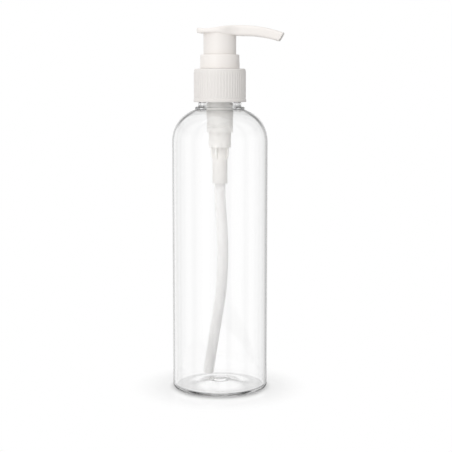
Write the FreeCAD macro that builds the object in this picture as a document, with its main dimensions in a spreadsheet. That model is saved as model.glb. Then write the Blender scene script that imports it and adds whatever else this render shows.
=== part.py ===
import FreeCAD, Part
import Sketcher
import math
import os
import re

# Pump oil bottle: a clear bottle with a screw-on lotion pump, standing on its base at the origin.
# The spout points along +X.

V = FreeCAD.Vector
UP = V(0, 0, 1)
doc = FreeCAD.newDocument("pump_oil_bottle")

# Driving dimensions, in millimetres and degrees
SIZES = [
    ("body_diameter", 51.0, "bottle: outside of the straight body"),
    ("body_wall", 1.2, "bottle: wall of body and shoulder"),
    ("heel_radius", 2.2, "bottle: rounding from wall to base"),
    ("stand_width", 4.8, "bottle: flat ring that it stands on"),
    ("push_up", 3.0, "bottle: rise of the dome in the base"),
    ("floor_thickness", 1.4, "bottle: base thickness"),
    ("shoulder_height", 131.6, "bottle: top of the straight body above the table"),
    ("shoulder_rise", 17.7, "bottle: from the straight body to the neck ledge"),
    ("ledge_diameter", 26.1, "bottle: ledge under the closure"),
    ("ledge_thickness", 1.5, "bottle: ledge"),
    ("shank_diameter", 22.7, "bottle: plain neck above the ledge"),
    ("shank_height", 2.0, "bottle: plain neck above the ledge"),
    ("neck_height", 16.7, "bottle: neck from the ledge to its top"),
    ("neck_root_diameter", 21.6, "bottle: neck between the threads"),
    ("neck_wall", 1.9, "bottle: neck wall between the threads"),
    ("lip_chamfer", 0.4, "bottle: outer edge of the neck's top"),
    ("thread_depth", 1.05, "thread: height of the ridge"),
    ("thread_pitch", 3.175, "thread: rise in a turn"),
    ("thread_turns", 1.5, "thread: turns on the neck and in the closure"),
    ("thread_base_width", 1.9, "thread: ridge at its foot"),
    ("thread_crest_width", 0.8, "thread: ridge at its crest"),
    ("thread_top_gap", 2.6, "thread: end of the ridge below the neck's top"),
    ("thread_clearance", 0.3, "thread: closure to neck, over crest and root"),
    ("thread_sink", 0.35, "thread: depth of the ridge's foot inside the wall"),
    ("gasket_thickness", 1.0, "gasket between neck and housing"),
    ("gasket_inset", 0.15, "gasket and flange: in from the closure's thread"),
    ("gasket_clearance", 0.2, "gasket: bore around the housing"),
    ("flange_thickness", 1.2, "housing: flange over the gasket"),
    ("barrel_diameter", 13.8, "housing: upper barrel"),
    ("barrel_wall", 1.0, "housing: upper barrel"),
    ("barrel_drop", 30.8, "housing: flange's underside to the barrel's end"),
    ("barrel_floor", 1.2, "housing: ledge under the spring"),
    ("collar_band_drop", 22.8, "housing: flange's underside to the end of the thicker band"),
    ("collar_band_step", 0.15, "housing: thicker band on the barrel"),
    ("bead_drop", 28.2, "housing: flange's underside to the bead"),
    ("bead_height", 0.8, "housing: bead on the barrel"),
    ("cup_diameter", 11.8, "housing: lower cup"),
    ("cup_wall", 1.2, "housing: lower cup"),
    ("cup_length", 8.0, "housing: lower cup"),
    ("cup_floor", 1.2, "housing: floor of the lower cup"),
    ("socket_diameter", 8.0, "housing: tube socket and valve chamber"),
    ("valve_length", 6.6, "housing: finned valve chamber"),
    ("socket_length", 12.5, "housing: tube socket"),
    ("fin_diameter", 10.1, "housing: across the fins"),
    ("fin_thickness", 0.9, "housing: one fin"),
    ("fin_taper", 2.4, "housing: sloped foot of a fin"),
    ("fin_sink", 0.35, "housing: root of a fin inside the wall"),
    ("fin_count", 4, "housing: fins"),
    ("fin_heading", 74.0, "housing: direction of the first fin"),
    ("ball_diameter", 5.0, "inlet ball"),
    ("ball_side_gap", 0.4, "inlet ball: gap to the chamber wall"),
    ("ball_seat_gap", 0.06, "inlet ball: gap to its seat"),
    ("ball_lift", 1.5, "inlet ball: travel"),
    ("throat_diameter", 3.4, "housing: hole under the ball"),
    ("seat_height", 1.5, "housing: cone under the ball"),
    ("cage_overhang", 0.15, "housing: lip over the ball"),
    ("cage_height", 0.7, "housing: lip over the ball"),
    ("cage_slot", 1.6, "housing: slots in the lip"),
    ("vent_diameter", 1.2, "housing: air vent"),
    ("vent_drop", 7.5, "housing: flange's underside to the vent"),
    ("tube_diameter", 5.8, "dip tube"),
    ("tube_wall", 0.9, "dip tube"),
    ("tube_heading", 118.7, "dip tube: direction that its foot leans"),
    ("tube_run", 2.0, "dip tube: straight run below the socket"),
    ("tube_bow_drop", 15.4, "dip tube: straight run to the change of curve"),
    ("tube_bow_radius", 59.0, "dip tube: upper curve"),
    ("tube_sweep_radius", 74.0, "dip tube: lower curve"),
    ("tube_wall_gap", 4.5, "dip tube: middle of its foot to the bottle wall"),
    ("tube_floor_gap", 2.0, "dip tube: middle of its foot to the bottle floor"),
    ("closure_height", 18.3, "closure"),
    ("closure_diameter", 27.6, "closure: across the grip ribs"),
    ("closure_top_thickness", 1.25, "closure: top"),
    ("closure_seat_gap", 0.05, "closure: top to the flange below"),
    ("closure_edge", 0.9, "closure: rounding of the top edge"),
    ("closure_band", 1.3, "closure: plain band at the foot"),
    ("closure_band_step", 0.1, "closure: band beyond the ribs"),
    ("rib_height", 0.25, "closure: grip rib"),
    ("rib_width", 1.0, "closure: grip rib"),
    ("rib_count", 54, "closure: grip ribs"),
    ("ring_diameter", 20.9, "lock ring: foot"),
    ("ring_top_diameter", 20.5, "lock ring: top"),
    ("ring_height", 7.2, "lock ring: above the closure"),
    ("ring_floor", 0.9, "lock ring: floor"),
    ("ring_edge", 0.4, "lock ring: rounding of the top edge"),
    ("ring_seat_gap", 0.1, "lock ring: foot to the closure"),
    ("ring_plug_wall", 0.6, "lock ring: wall through the closure's hole, beside the skirt's room"),
    ("ring_hole_gap", 0.2, "lock ring: plug to the closure's hole"),
    ("ring_plug_depth", 4.0, "lock ring: sleeve inside the housing"),
    ("ring_tower", 2.0, "lock ring: guide above the floor"),
    ("ring_tower_wall", 1.6, "lock ring: guide wall"),
    ("press_gap", 0.03, "press fits: gap left between the two pieces"),
    ("stem_diameter", 6.6, "stem"),
    ("stem_wall", 1.6, "stem"),
    ("stem_running_gap", 0.08, "stem: gap in its guide, its swivel and the piston"),
    ("stem_stop_gap", 0.2, "stem: shoulder to the lock ring's sleeve"),
    ("stem_shoulder_diameter", 9.2, "stem: shoulder over the piston"),
    ("stem_shoulder_height", 1.2, "stem: shoulder over the piston"),
    ("stem_tail", 5.4, "stem: below the shoulder"),
    ("piston_play", 0.8, "piston: travel along the stem"),
    ("piston_play_gap", 0.2, "piston: room left at the end of its travel"),
    ("piston_height", 5.9, "piston: hub"),
    ("piston_hub_wall", 1.2, "piston: hub"),
    ("piston_web", 1.6, "piston: web between hub and lips"),
    ("piston_lip", 1.9, "piston: lip above and below the web"),
    ("piston_lip_wall", 0.7, "piston: lip"),
    ("piston_gap", 0.05, "piston: lip to the barrel"),
    ("valve_gap", 0.05, "valve pin: head to the piston"),
    ("pin_head_diameter", 10.6, "valve pin: head"),
    ("pin_head_height", 1.4, "valve pin: head"),
    ("pin_boss_height", 2.0, "valve pin: boss inside the spring"),
    ("pin_boss_gap", 0.4, "valve pin: boss to the spring"),
    ("pin_grip", 5.0, "valve pin: spigot inside the stem"),
    ("pin_flute_width", 1.0, "valve pin: flutes along the spigot"),
    ("pin_flute_depth", 0.9, "valve pin: flutes along the spigot"),
    ("pin_flute_count", 3, "valve pin: flutes along the spigot"),
    ("spring_wire", 0.8, "spring: wire"),
    ("spring_diameter", 10.8, "spring: across the outside"),
    ("spring_turns", 8, "spring: turns"),
    ("spring_seat_gap", 0.05, "spring: gap at each end"),
    ("skirt_diameter", 17.2, "actuator: skirt"),
    ("skirt_wall", 1.1, "actuator: skirt"),
    ("skirt_side_gap", 0.3, "actuator: skirt to the lock ring"),
    ("skirt_overlap", 0.9, "actuator: skirt inside the lock ring at rest"),
    ("skirt_show", 11.1, "actuator: skirt above the lock ring at rest"),
    ("pump_stroke", 6.5, "actuator: travel"),
    ("pump_stroke_gap", 0.3, "actuator: room left below the socket at full travel"),
    ("roof_thickness", 2.4, "actuator: solid below the plate's underside"),
    ("socket_wall", 1.3, "actuator: stem socket"),
    ("socket_end_gap", 0.2, "actuator: stem's end to the socket's end"),
    ("socket_roof", 1.0, "actuator: socket's end above the skirt's roof"),
    ("duct_diameter", 2.8, "actuator: duct to the spout"),
    ("duct_height", 0.3, "actuator: duct's start above the plate's underside"),
    ("lip_reach", 11.4, "actuator: thumb lip behind the axis"),
    ("lip_thickness", 2.8, "actuator: thumb lip"),
    ("lip_corner", 4.0, "actuator: corners of the thumb lip, seen from above"),
    ("pad_offset", 4.8, "actuator: lowest place of the pad behind the axis"),
    ("pad_dip_radius", 12.0, "actuator: dip of the pad"),
    ("pad_width", 18.6, "actuator: pad"),
    ("waist_outer_radius", 9.0, "actuator: pad's rounding into the spout, seen from above"),
    ("waist_inner_radius", 14.0, "actuator: hollow beside the spout's root, seen from above"),
    ("crest_offset", 11.2, "actuator: highest place of the spout"),
    ("crest_rise", 4.05, "actuator: highest place of the spout over the pad's underside"),
    ("belly_offset", 12.5, "actuator: underside of the spout where it starts to fall"),
    ("belly_drop", 1.5, "actuator: underside of the spout there, under the pad's underside"),
    ("arm_width", 9.4, "actuator: spout at its root"),
    ("tip_offset", 32.7, "actuator: middle of the spout's mouth"),
    ("tip_drop", 2.3, "actuator: middle of the mouth under the pad's underside"),
    ("tip_depth", 5.2, "actuator: mouth, along its face"),
    ("tip_width", 7.2, "actuator: mouth"),
    ("tip_tilt", 31.0, "actuator: mouth's face, from upright"),
    ("head_rounding", 0.65, "actuator: long edges of the pad and spout"),
]

sheet = doc.addObject("Spreadsheet::Sheet", "dims")
for row, (alias, value, note) in enumerate(SIZES, start=1):
    sheet.set(f"A{row}", alias)
    sheet.set(f"B{row}", str(value))
    sheet.setAlias(f"B{row}", alias)
    sheet.set(f"C{row}", note)
doc.recompute()

TINY = 0.01
ALIASES = {alias for alias, value, note in SIZES}

# Places that several pieces share, each written once as an expression of the sizes
PLACES = {
    "BODY_R": "body_diameter / 2",
    "STAND_R": "BODY_R - heel_radius",
    "INSIDE_R": "BODY_R - body_wall",
    "LEDGE_R": "ledge_diameter / 2",
    "LEDGE_Z": "shoulder_height + shoulder_rise + ledge_thickness",
    "SHANK_R": "shank_diameter / 2",
    "ROOT_R": "neck_root_diameter / 2",
    "NECK_BORE_R": "ROOT_R - neck_wall",
    "NECK_Z": "LEDGE_Z + neck_height",
    "SHOULDER_R": "((BODY_R - LEDGE_R)^2 + shoulder_rise^2) / (2 * (BODY_R - LEDGE_R))",
    "DOME_R": "((STAND_R - stand_width)^2 + push_up^2) / (2 * push_up)",
    "THREAD_TOP_Z": "NECK_Z - thread_top_gap",
    "THREAD_LOW_Z": "THREAD_TOP_Z - thread_pitch * thread_turns",
    "SHELL_R": "ROOT_R + thread_depth + thread_clearance",
    "FLANGE_Z": "NECK_Z + gasket_thickness",
    "FLANGE_TOP_Z": "FLANGE_Z + flange_thickness",
    "FLANGE_R": "SHELL_R - thread_depth - gasket_inset",
    "BARREL_R": "barrel_diameter / 2",
    "BORE_R": "BARREL_R - barrel_wall",
    "BARREL_Z": "FLANGE_Z - barrel_drop",
    "SPRING_Z": "BARREL_Z + barrel_floor",
    "CUP_R": "cup_diameter / 2",
    "CUP_BORE_R": "CUP_R - cup_wall",
    "CUP_Z": "BARREL_Z - cup_length",
    "CORE_R": "socket_diameter / 2",
    "CORE_Z": "CUP_Z - valve_length",
    "SOCKET_Z": "CORE_Z - socket_length",
    "BALL_R": "ball_diameter / 2",
    "CHAMBER_R": "BALL_R + ball_side_gap",
    "THROAT_R": "throat_diameter / 2",
    "SEAT_LEAN": "atan((CHAMBER_R - THROAT_R) / seat_height)",
    "CAGE_TOP_Z": "CUP_Z + cup_floor",
    "CAGE_Z": "CAGE_TOP_Z - cage_height",
    "BALL_Z": "CAGE_Z - BALL_R / 2 - ball_lift",
    "SEAT_Z": "BALL_Z - ball_seat_gap - (BALL_R / cos(SEAT_LEAN) - THROAT_R) / tan(SEAT_LEAN)",
    "TUBE_R": "tube_diameter / 2",
    "CLOSURE_UNDER_Z": "FLANGE_TOP_Z + closure_seat_gap",
    "CLOSURE_TOP_Z": "CLOSURE_UNDER_Z + closure_top_thickness",
    "CLOSURE_Z": "CLOSURE_TOP_Z - closure_height",
    "CLOSURE_R": "closure_diameter / 2",
    "RIB_FOOT_R": "CLOSURE_R - rib_height",
    "SKIRT_R": "skirt_diameter / 2",
    "RING_BORE_R": "SKIRT_R + skirt_side_gap",
    "RING_PLUG_R": "RING_BORE_R + ring_plug_wall",
    "CLOSURE_HOLE_R": "RING_PLUG_R + ring_hole_gap",
    "RING_Z": "CLOSURE_TOP_Z + ring_seat_gap",
    "RING_TOP_Z": "RING_Z + ring_height",
    "RING_FLOOR_Z": "FLANGE_TOP_Z + ring_floor",
    "TOWER_Z": "RING_FLOOR_Z + ring_tower",
    "PLUG_Z": "FLANGE_TOP_Z - ring_plug_depth",
    "STEM_R": "stem_diameter / 2",
    "STEM_BORE_R": "STEM_R - stem_wall",
    "GUIDE_R": "STEM_R + stem_running_gap",
    "SHOULDER_TOP_Z": "PLUG_Z - stem_stop_gap",
    "SHOULDER_Z": "SHOULDER_TOP_Z - stem_shoulder_height",
    "STEM_Z": "SHOULDER_Z - stem_tail",
    "PISTON_TOP_Z": "SHOULDER_Z - piston_play - piston_play_gap",
    "PISTON_Z": "PISTON_TOP_Z - piston_height",
    "PIN_Z": "PISTON_Z - valve_gap",
    "PIN_UNDER_Z": "PIN_Z - pin_head_height",
    "COIL_R": "(spring_diameter - spring_wire) / 2",
    "PLATE_Z": "RING_TOP_Z + skirt_show",
    "SKIRT_Z": "RING_TOP_Z - skirt_overlap",
    "ROOF_Z": "PLATE_Z - roof_thickness",
    "STEM_TOP_Z": "ROOF_Z + socket_roof",
    "ACTUATOR_SOCKET_Z": "TOWER_Z + pump_stroke + pump_stroke_gap",
    "TIP_HIGH_X": "tip_offset + tip_depth / 2 * sin(tip_tilt)",
    "TIP_HIGH_DROP": "tip_drop - tip_depth / 2 * cos(tip_tilt)",
    "TIP_LOW_X": "tip_offset - tip_depth / 2 * sin(tip_tilt)",
    "TIP_LOW_DROP": "tip_drop + tip_depth / 2 * cos(tip_tilt)",
    "CREST_RUN": "TIP_HIGH_X - crest_offset",
    "CREST_FALL": "crest_rise + TIP_HIGH_DROP",
    "CREST_R": "(CREST_RUN^2 + CREST_FALL^2) / (2 * CREST_FALL)",
    "BELLY_RUN": "TIP_LOW_X - belly_offset",
    "BELLY_FALL": "TIP_LOW_DROP - belly_drop",
    "BELLY_R": "(BELLY_RUN^2 + BELLY_FALL^2) / (2 * BELLY_FALL)",
    "WAIST_TURN": "acos(1 - (pad_width - arm_width) / 2 / (waist_outer_radius + waist_inner_radius))",
}


def spelled_out(text):
    # replace the shared places by their sizes until only sheet cells are left
    while re.search(r"\b[A-Z][A-Z_]+\b", text):
        text = re.sub(r"\b[A-Z][A-Z_]+\b", lambda found: "(" + PLACES[found.group()] + ")", text)
    return re.sub(r"\b[a-z]\w+\b", lambda found: "dims." + found.group() if found.group() in ALIASES
                  else found.group(), text)


def number(text):
    return float(sheet.evalExpression(spelled_out(text)))


def bind(thing, prop, text):
    thing.setExpression(prop, spelled_out(text))


def new_body(label):
    body = doc.addObject("PartDesign::Body", label)
    body.Label = label
    return body


def origin_part(body, role):
    return next(part for part in body.Origin.OriginFeatures if part.Role == role)


def new_sketch(body, name, role):
    sketch = body.newObject("Sketcher::SketchObject", name)
    sketch.AttachmentSupport = [(origin_part(body, role), "")]
    sketch.MapMode = "FlatFace"
    return sketch


def raised(sketch, text):
    sketch.AttachmentOffset = FreeCAD.Placement(V(0, 0, number(text)), FreeCAD.Rotation())
    bind(sketch, "AttachmentOffset.Base.z", text)


def hold(sketch, kind, shape, end, text):
    # one coordinate of a point, measured from the sketch's origin on the side where the point lies
    value = number(text)
    if abs(value) < 1e-9:
        axis = -2 if kind == "DistanceX" else -1
        sketch.addConstraint(Sketcher.Constraint("PointOnObject", shape, end, axis))
    elif value > 0:
        index = sketch.addConstraint(Sketcher.Constraint(kind, -1, 1, shape, end, value))
        bind(sketch, f"Constraints[{index}]", text)
    else:
        index = sketch.addConstraint(Sketcher.Constraint(kind, shape, end, -1, 1, -value))
        bind(sketch, f"Constraints[{index}]", f"-({text})")


def outline(sketch, corners):
    # a closed outline of (x, y) corners
    # a third entry (centre x, centre y, radius) makes the way to the next corner an arc
    places = [V(number(corner[0]), number(corner[1]), 0) for corner in corners]
    shapes = []
    for index, corner in enumerate(corners):
        here, there = places[index], places[(index + 1) % len(corners)]
        if len(corner) == 2:
            shapes.append((sketch.addGeometry(Part.LineSegment(here, there), False), 1, 2))
            continue
        centre = V(number(corner[2][0]), number(corner[2][1]), 0)
        circle = Part.Circle(centre, UP, number(corner[2][2]))
        first, last = (math.atan2(place.y - centre.y, place.x - centre.x) for place in (here, there))
        leftward = (here - centre).cross(there - centre).z > 0
        first, last = (first, last) if leftward else (last, first)
        arc = Part.ArcOfCircle(circle, first, last if last > first else last + 2 * math.pi)
        shapes.append((sketch.addGeometry(arc, False), *((1, 2) if leftward else (2, 1))))
    for index, corner in enumerate(corners):
        shape, start, end = shapes[index]
        after = shapes[(index + 1) % len(corners)]
        sketch.addConstraint(Sketcher.Constraint("Coincident", shape, end, after[0], after[1]))
        hold(sketch, "DistanceX", shape, start, corner[0])
        hold(sketch, "DistanceY", shape, start, corner[1])
        if len(corner) == 3:
            radius = sketch.addConstraint(Sketcher.Constraint("Radius", shape, number(corner[2][2])))
            bind(sketch, f"Constraints[{radius}]", corner[2][2])


def circles(sketch, middle, *radii):
    centre = V(number(middle[0]), number(middle[1]), 0)
    for text in radii:
        index = sketch.addGeometry(Part.Circle(centre, UP, number(text)), False)
        hold(sketch, "DistanceX", index, 3, middle[0])
        hold(sketch, "DistanceY", index, 3, middle[1])
        radius = sketch.addConstraint(Sketcher.Constraint("Radius", index, number(text)))
        bind(sketch, f"Constraints[{radius}]", text)


def turned(body, name, corners, kind="Revolution"):
    sketch = new_sketch(body, name + "_outline", "XZ_Plane")
    outline(sketch, corners)
    feature = body.newObject("PartDesign::" + kind, name)
    feature.Profile = sketch
    feature.ReferenceAxis = (sketch, ["V_Axis"])
    feature.Angle = 360
    return feature


def rectangle(low_x, high_x, low_y, high_y):
    return [(low_x, low_y), (high_x, low_y), (high_x, high_y), (low_x, high_y)]


def repeated(body, name, feature, count):
    pattern = body.newObject("PartDesign::PolarPattern", name)
    pattern.Originals = [feature]
    pattern.Axis = (origin_part(body, "Z_Axis"), [""])
    pattern.Angle = 360
    bind(pattern, "Occurrences", count)
    body.Tip = pattern
    return pattern


def wound(body, name, low_z, foot_r, crest_r):
    # a thread ridge, whose foot is sunk into the wall that carries it
    sketch = new_sketch(body, name + "_section", "XZ_Plane")
    outline(sketch, [
        (foot_r, f"{low_z} - thread_base_width / 2"),
        (crest_r, f"{low_z} - thread_crest_width / 2"),
        (crest_r, f"{low_z} + thread_crest_width / 2"),
        (foot_r, f"{low_z} + thread_base_width / 2"),
    ])
    doc.recompute()
    ridge = body.newObject("PartDesign::AdditiveHelix", name)
    ridge.Profile = sketch
    ridge.ReferenceAxis = (sketch, ["V_Axis"])
    ridge.Mode = "pitch-height-angle"
    bind(ridge, "Pitch", "thread_pitch")
    bind(ridge, "Height", "thread_pitch * thread_turns")
    return ridge


def make_bottle():
    body = new_body("bottle")
    shoulder_centre = ("BODY_R - SHOULDER_R", "shoulder_height")
    inner_shoulder_r = "SHOULDER_R - body_wall"
    inner_heel_r = "heel_radius - body_wall"
    neck_foot_rise = "sqrt((SHOULDER_R - body_wall)^2 - (NECK_BORE_R - BODY_R + SHOULDER_R)^2)"
    turned(body, "bottle_shell", [
        ("0", "push_up", ("0", "push_up - DOME_R", "DOME_R")),
        ("STAND_R - stand_width", "0"),
        ("STAND_R", "0", ("STAND_R", "heel_radius", "heel_radius")),
        ("BODY_R", "heel_radius"),
        ("BODY_R", "shoulder_height", (*shoulder_centre, "SHOULDER_R")),
        ("LEDGE_R", "LEDGE_Z - ledge_thickness"),
        ("LEDGE_R", "LEDGE_Z"),
        ("SHANK_R", "LEDGE_Z"),
        ("SHANK_R", "LEDGE_Z + shank_height"),
        ("ROOT_R", "LEDGE_Z + shank_height + SHANK_R - ROOT_R"),
        ("ROOT_R", "NECK_Z - lip_chamfer"),
        ("ROOT_R - lip_chamfer", "NECK_Z"),
        ("NECK_BORE_R", "NECK_Z"),
        ("NECK_BORE_R", f"shoulder_height + {neck_foot_rise}", (*shoulder_centre, inner_shoulder_r)),
        ("INSIDE_R", "shoulder_height"),
        ("INSIDE_R", "floor_thickness + heel_radius - body_wall",
         ("STAND_R", "floor_thickness + heel_radius - body_wall", inner_heel_r)),
        ("STAND_R", "floor_thickness"),
        ("STAND_R - stand_width", "floor_thickness", ("0", "floor_thickness + push_up - DOME_R", "DOME_R")),
        ("0", "floor_thickness + push_up"),
    ])
    wound(body, "neck_thread", "THREAD_LOW_Z", "ROOT_R - thread_sink", "ROOT_R + thread_depth")
    return body


def make_gasket():
    body = new_body("gasket")
    turned(body, "gasket_ring", rectangle("BARREL_R + collar_band_step + gasket_clearance", "FLANGE_R",
                                          "NECK_Z", "FLANGE_Z"))
    return body


def make_housing():
    body = new_body("housing")
    band_r = "BARREL_R + collar_band_step"
    band_z = "FLANGE_Z - collar_band_drop"
    bead_z = "FLANGE_Z - bead_drop"
    cage_r = "BALL_R - cage_overhang"
    turned(body, "housing_shell", [
        ("BORE_R", "FLANGE_TOP_Z"),
        ("BORE_R", "SPRING_Z"),
        ("CUP_BORE_R", "SPRING_Z"),
        ("CUP_BORE_R", "CAGE_TOP_Z"),
        (cage_r, "CAGE_TOP_Z"),
        (cage_r, "CAGE_Z"),
        ("CHAMBER_R", "CAGE_Z"),
        ("CHAMBER_R", "SEAT_Z + seat_height"),
        ("THROAT_R", "SEAT_Z"),
        ("THROAT_R", "CORE_Z"),
        ("TUBE_R", "CORE_Z"),
        ("TUBE_R", "SOCKET_Z"),
        ("CORE_R", "SOCKET_Z"),
        ("CORE_R", "CUP_Z"),
        ("CUP_R", "CUP_Z"),
        ("CUP_R", "BARREL_Z"),
        ("BARREL_R", "BARREL_Z"),
        ("BARREL_R", bead_z),
        (band_r, f"{bead_z} + collar_band_step"),
        (band_r, f"{bead_z} + bead_height - collar_band_step"),
        ("BARREL_R", f"{bead_z} + bead_height"),
        ("BARREL_R", f"{band_z} - collar_band_step"),
        (band_r, band_z),
        (band_r, "FLANGE_Z"),
        ("FLANGE_R", "FLANGE_Z"),
        ("FLANGE_R", "FLANGE_TOP_Z"),
    ])
    fin_sketch = new_sketch(body, "fin_outline", "XZ_Plane")
    outline(fin_sketch, [
        ("CORE_R - fin_sink", "CORE_Z"),
        ("CORE_R", "CORE_Z"),
        ("fin_diameter / 2", "CORE_Z + fin_taper"),
        ("fin_diameter / 2", "CUP_Z + cup_floor / 2"),
        ("CORE_R - fin_sink", "CUP_Z + cup_floor / 2"),
    ])
    fin = body.newObject("PartDesign::Pad", "fin")
    fin.Profile = fin_sketch
    fin.Midplane = True
    bind(fin, "Length", "fin_thickness")
    repeated(body, "fins", fin, "fin_count")
    slot_sketch = new_sketch(body, "cage_slot_outline", "XZ_Plane")
    outline(slot_sketch, rectangle("THROAT_R", "CHAMBER_R", "CAGE_Z", "CAGE_TOP_Z"))
    slot = body.newObject("PartDesign::Pocket", "cage_slot_cut")
    slot.Profile = slot_sketch
    slot.Midplane = True
    bind(slot, "Length", "cage_slot")
    repeated(body, "cage_slots", slot, "fin_count")
    vent_sketch = new_sketch(body, "vent_outline", "YZ_Plane")
    circles(vent_sketch, ("0", "FLANGE_Z - vent_drop"), "vent_diameter / 2")
    vent = body.newObject("PartDesign::Pocket", "vent")
    vent.Profile = vent_sketch
    vent.Reversed = True
    bind(vent, "Length", "barrel_diameter")
    body.Tip = vent
    body.Placement = FreeCAD.Placement(V(), FreeCAD.Rotation(UP, number("fin_heading")))
    bind(body, "Placement.Rotation.Angle", "fin_heading")
    return body


def make_inlet_ball():
    ball = doc.addObject("Part::Sphere", "inlet_ball")
    ball.Label = "inlet_ball"
    bind(ball, "Radius", "BALL_R")
    ball.Placement = FreeCAD.Placement(V(0, 0, number("BALL_Z")), FreeCAD.Rotation())
    bind(ball, "Placement.Base.z", "BALL_Z")
    return ball


def make_dip_tube():
    # straight in the socket, bowed to the front, swept to the back, then a straight leg down to the heel
    body = new_body("dip_tube")
    start = V(0, number("CORE_Z"), 0)
    bend = V(0, number("SOCKET_Z - tube_run"), 0)
    foot = V(number("INSIDE_R - tube_wall_gap"), number("floor_thickness + tube_floor_gap"), 0)
    bow_r = number("tube_bow_radius")
    sweep_r = number("tube_sweep_radius")
    bow_turn = math.asin(number("tube_bow_drop") / bow_r)
    change = bend + V(-bow_r * (1 - math.cos(bow_turn)), -bow_r * math.sin(bow_turn), 0)
    sweep_centre = change + V(sweep_r * math.cos(bow_turn), -sweep_r * math.sin(bow_turn), 0)
    to_foot = foot - sweep_centre
    leave = math.atan2(to_foot.y, to_foot.x) - math.acos(sweep_r / to_foot.Length)
    leg = sweep_centre + V(sweep_r * math.cos(leave), sweep_r * math.sin(leave), 0)
    path = new_sketch(body, "tube_path", "XZ_Plane")
    path.addGeometry(Part.LineSegment(start, bend), False)
    path.addGeometry(Part.ArcOfCircle(Part.Circle(bend - V(bow_r, 0, 0), UP, bow_r), -bow_turn, 0), False)
    path.addGeometry(Part.ArcOfCircle(Part.Circle(sweep_centre, UP, sweep_r),
                                      math.pi - bow_turn, 2 * math.pi + leave), False)
    path.addGeometry(Part.LineSegment(leg, foot), False)
    hold(path, "DistanceX", 0, 1, "0")
    hold(path, "DistanceY", 0, 1, "CORE_Z")
    hold(path, "DistanceX", 0, 2, "0")
    hold(path, "DistanceY", 0, 2, "SOCKET_Z - tube_run")
    path.addConstraint(Sketcher.Constraint("Tangent", 0, 2, 1, 2))
    path.addConstraint(Sketcher.Constraint("Tangent", 1, 1, 2, 1))
    path.addConstraint(Sketcher.Constraint("Tangent", 2, 2, 3, 1))
    for shape, text in ((1, "tube_bow_radius"), (2, "tube_sweep_radius")):
        radius = path.addConstraint(Sketcher.Constraint("Radius", shape, number(text)))
        bind(path, f"Constraints[{radius}]", text)
    hold(path, "DistanceY", 1, 1, "SOCKET_Z - tube_run - tube_bow_drop")
    hold(path, "DistanceX", 3, 2, "INSIDE_R - tube_wall_gap")
    hold(path, "DistanceY", 3, 2, "floor_thickness + tube_floor_gap")
    section = new_sketch(body, "tube_section", "XY_Plane")
    circles(section, ("0", "0"), "TUBE_R", "TUBE_R - tube_wall")
    raised(section, "CORE_Z")
    doc.recompute()
    tube = body.newObject("PartDesign::AdditivePipe", "tube")
    tube.Profile = section
    tube.Spine = path
    body.Placement = FreeCAD.Placement(V(), FreeCAD.Rotation(UP, number("tube_heading")))
    bind(body, "Placement.Rotation.Angle", "tube_heading")
    return body


def make_closure():
    body = new_body("closure")
    band_r = "CLOSURE_R + closure_band_step"
    edge_z = "CLOSURE_TOP_Z - closure_edge"
    turned(body, "closure_shell", [
        ("CLOSURE_HOLE_R", "CLOSURE_UNDER_Z"),
        ("SHELL_R", "CLOSURE_UNDER_Z"),
        ("SHELL_R", "CLOSURE_Z"),
        (band_r, "CLOSURE_Z"),
        (band_r, "CLOSURE_Z + closure_band"),
        ("RIB_FOOT_R", "CLOSURE_Z + closure_band + rib_height"),
        ("RIB_FOOT_R", edge_z, ("RIB_FOOT_R - closure_edge", edge_z, "closure_edge")),
        ("RIB_FOOT_R - closure_edge", "CLOSURE_TOP_Z"),
        ("CLOSURE_HOLE_R", "CLOSURE_TOP_Z"),
    ])
    wound(body, "closure_thread", "THREAD_LOW_Z - thread_pitch / 2", "SHELL_R + thread_sink",
          "SHELL_R - thread_depth")
    rib_sketch = new_sketch(body, "rib_section", "XY_Plane")
    outline(rib_sketch, [
        ("RIB_FOOT_R - rib_height", "-rib_width / 2"),
        ("RIB_FOOT_R", "-rib_width / 2"),
        ("CLOSURE_R", "-rib_width / 4"),
        ("CLOSURE_R", "rib_width / 4"),
        ("RIB_FOOT_R", "rib_width / 2"),
        ("RIB_FOOT_R - rib_height", "rib_width / 2"),
    ])
    raised(rib_sketch, "CLOSURE_Z + rib_height")
    rib = body.newObject("PartDesign::Pad", "rib")
    rib.Profile = rib_sketch
    bind(rib, "Length", "closure_height - closure_edge - rib_height")
    repeated(body, "ribs", rib, "rib_count")
    return body


def make_lock_ring():
    body = new_body("lock_ring")
    ring_r = "ring_diameter / 2"
    top_r = "ring_top_diameter / 2"
    edge_z = "RING_TOP_Z - ring_edge"
    tower_r = "GUIDE_R + ring_tower_wall"
    turned(body, "lock_ring_shell", [
        ("GUIDE_R", "PLUG_Z"),
        ("BORE_R - press_gap", "PLUG_Z"),
        ("BORE_R - press_gap", "FLANGE_TOP_Z"),
        ("RING_PLUG_R", "FLANGE_TOP_Z"),
        ("RING_PLUG_R", "RING_Z"),
        (ring_r, "RING_Z"),
        (top_r, edge_z, (f"{top_r} - ring_edge", edge_z, "ring_edge")),
        (f"{top_r} - ring_edge", "RING_TOP_Z"),
        ("RING_BORE_R", "RING_TOP_Z"),
        ("RING_BORE_R", "RING_FLOOR_Z"),
        (tower_r, "RING_FLOOR_Z"),
        (tower_r, "TOWER_Z"),
        ("GUIDE_R", "TOWER_Z"),
    ])
    return body


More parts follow.
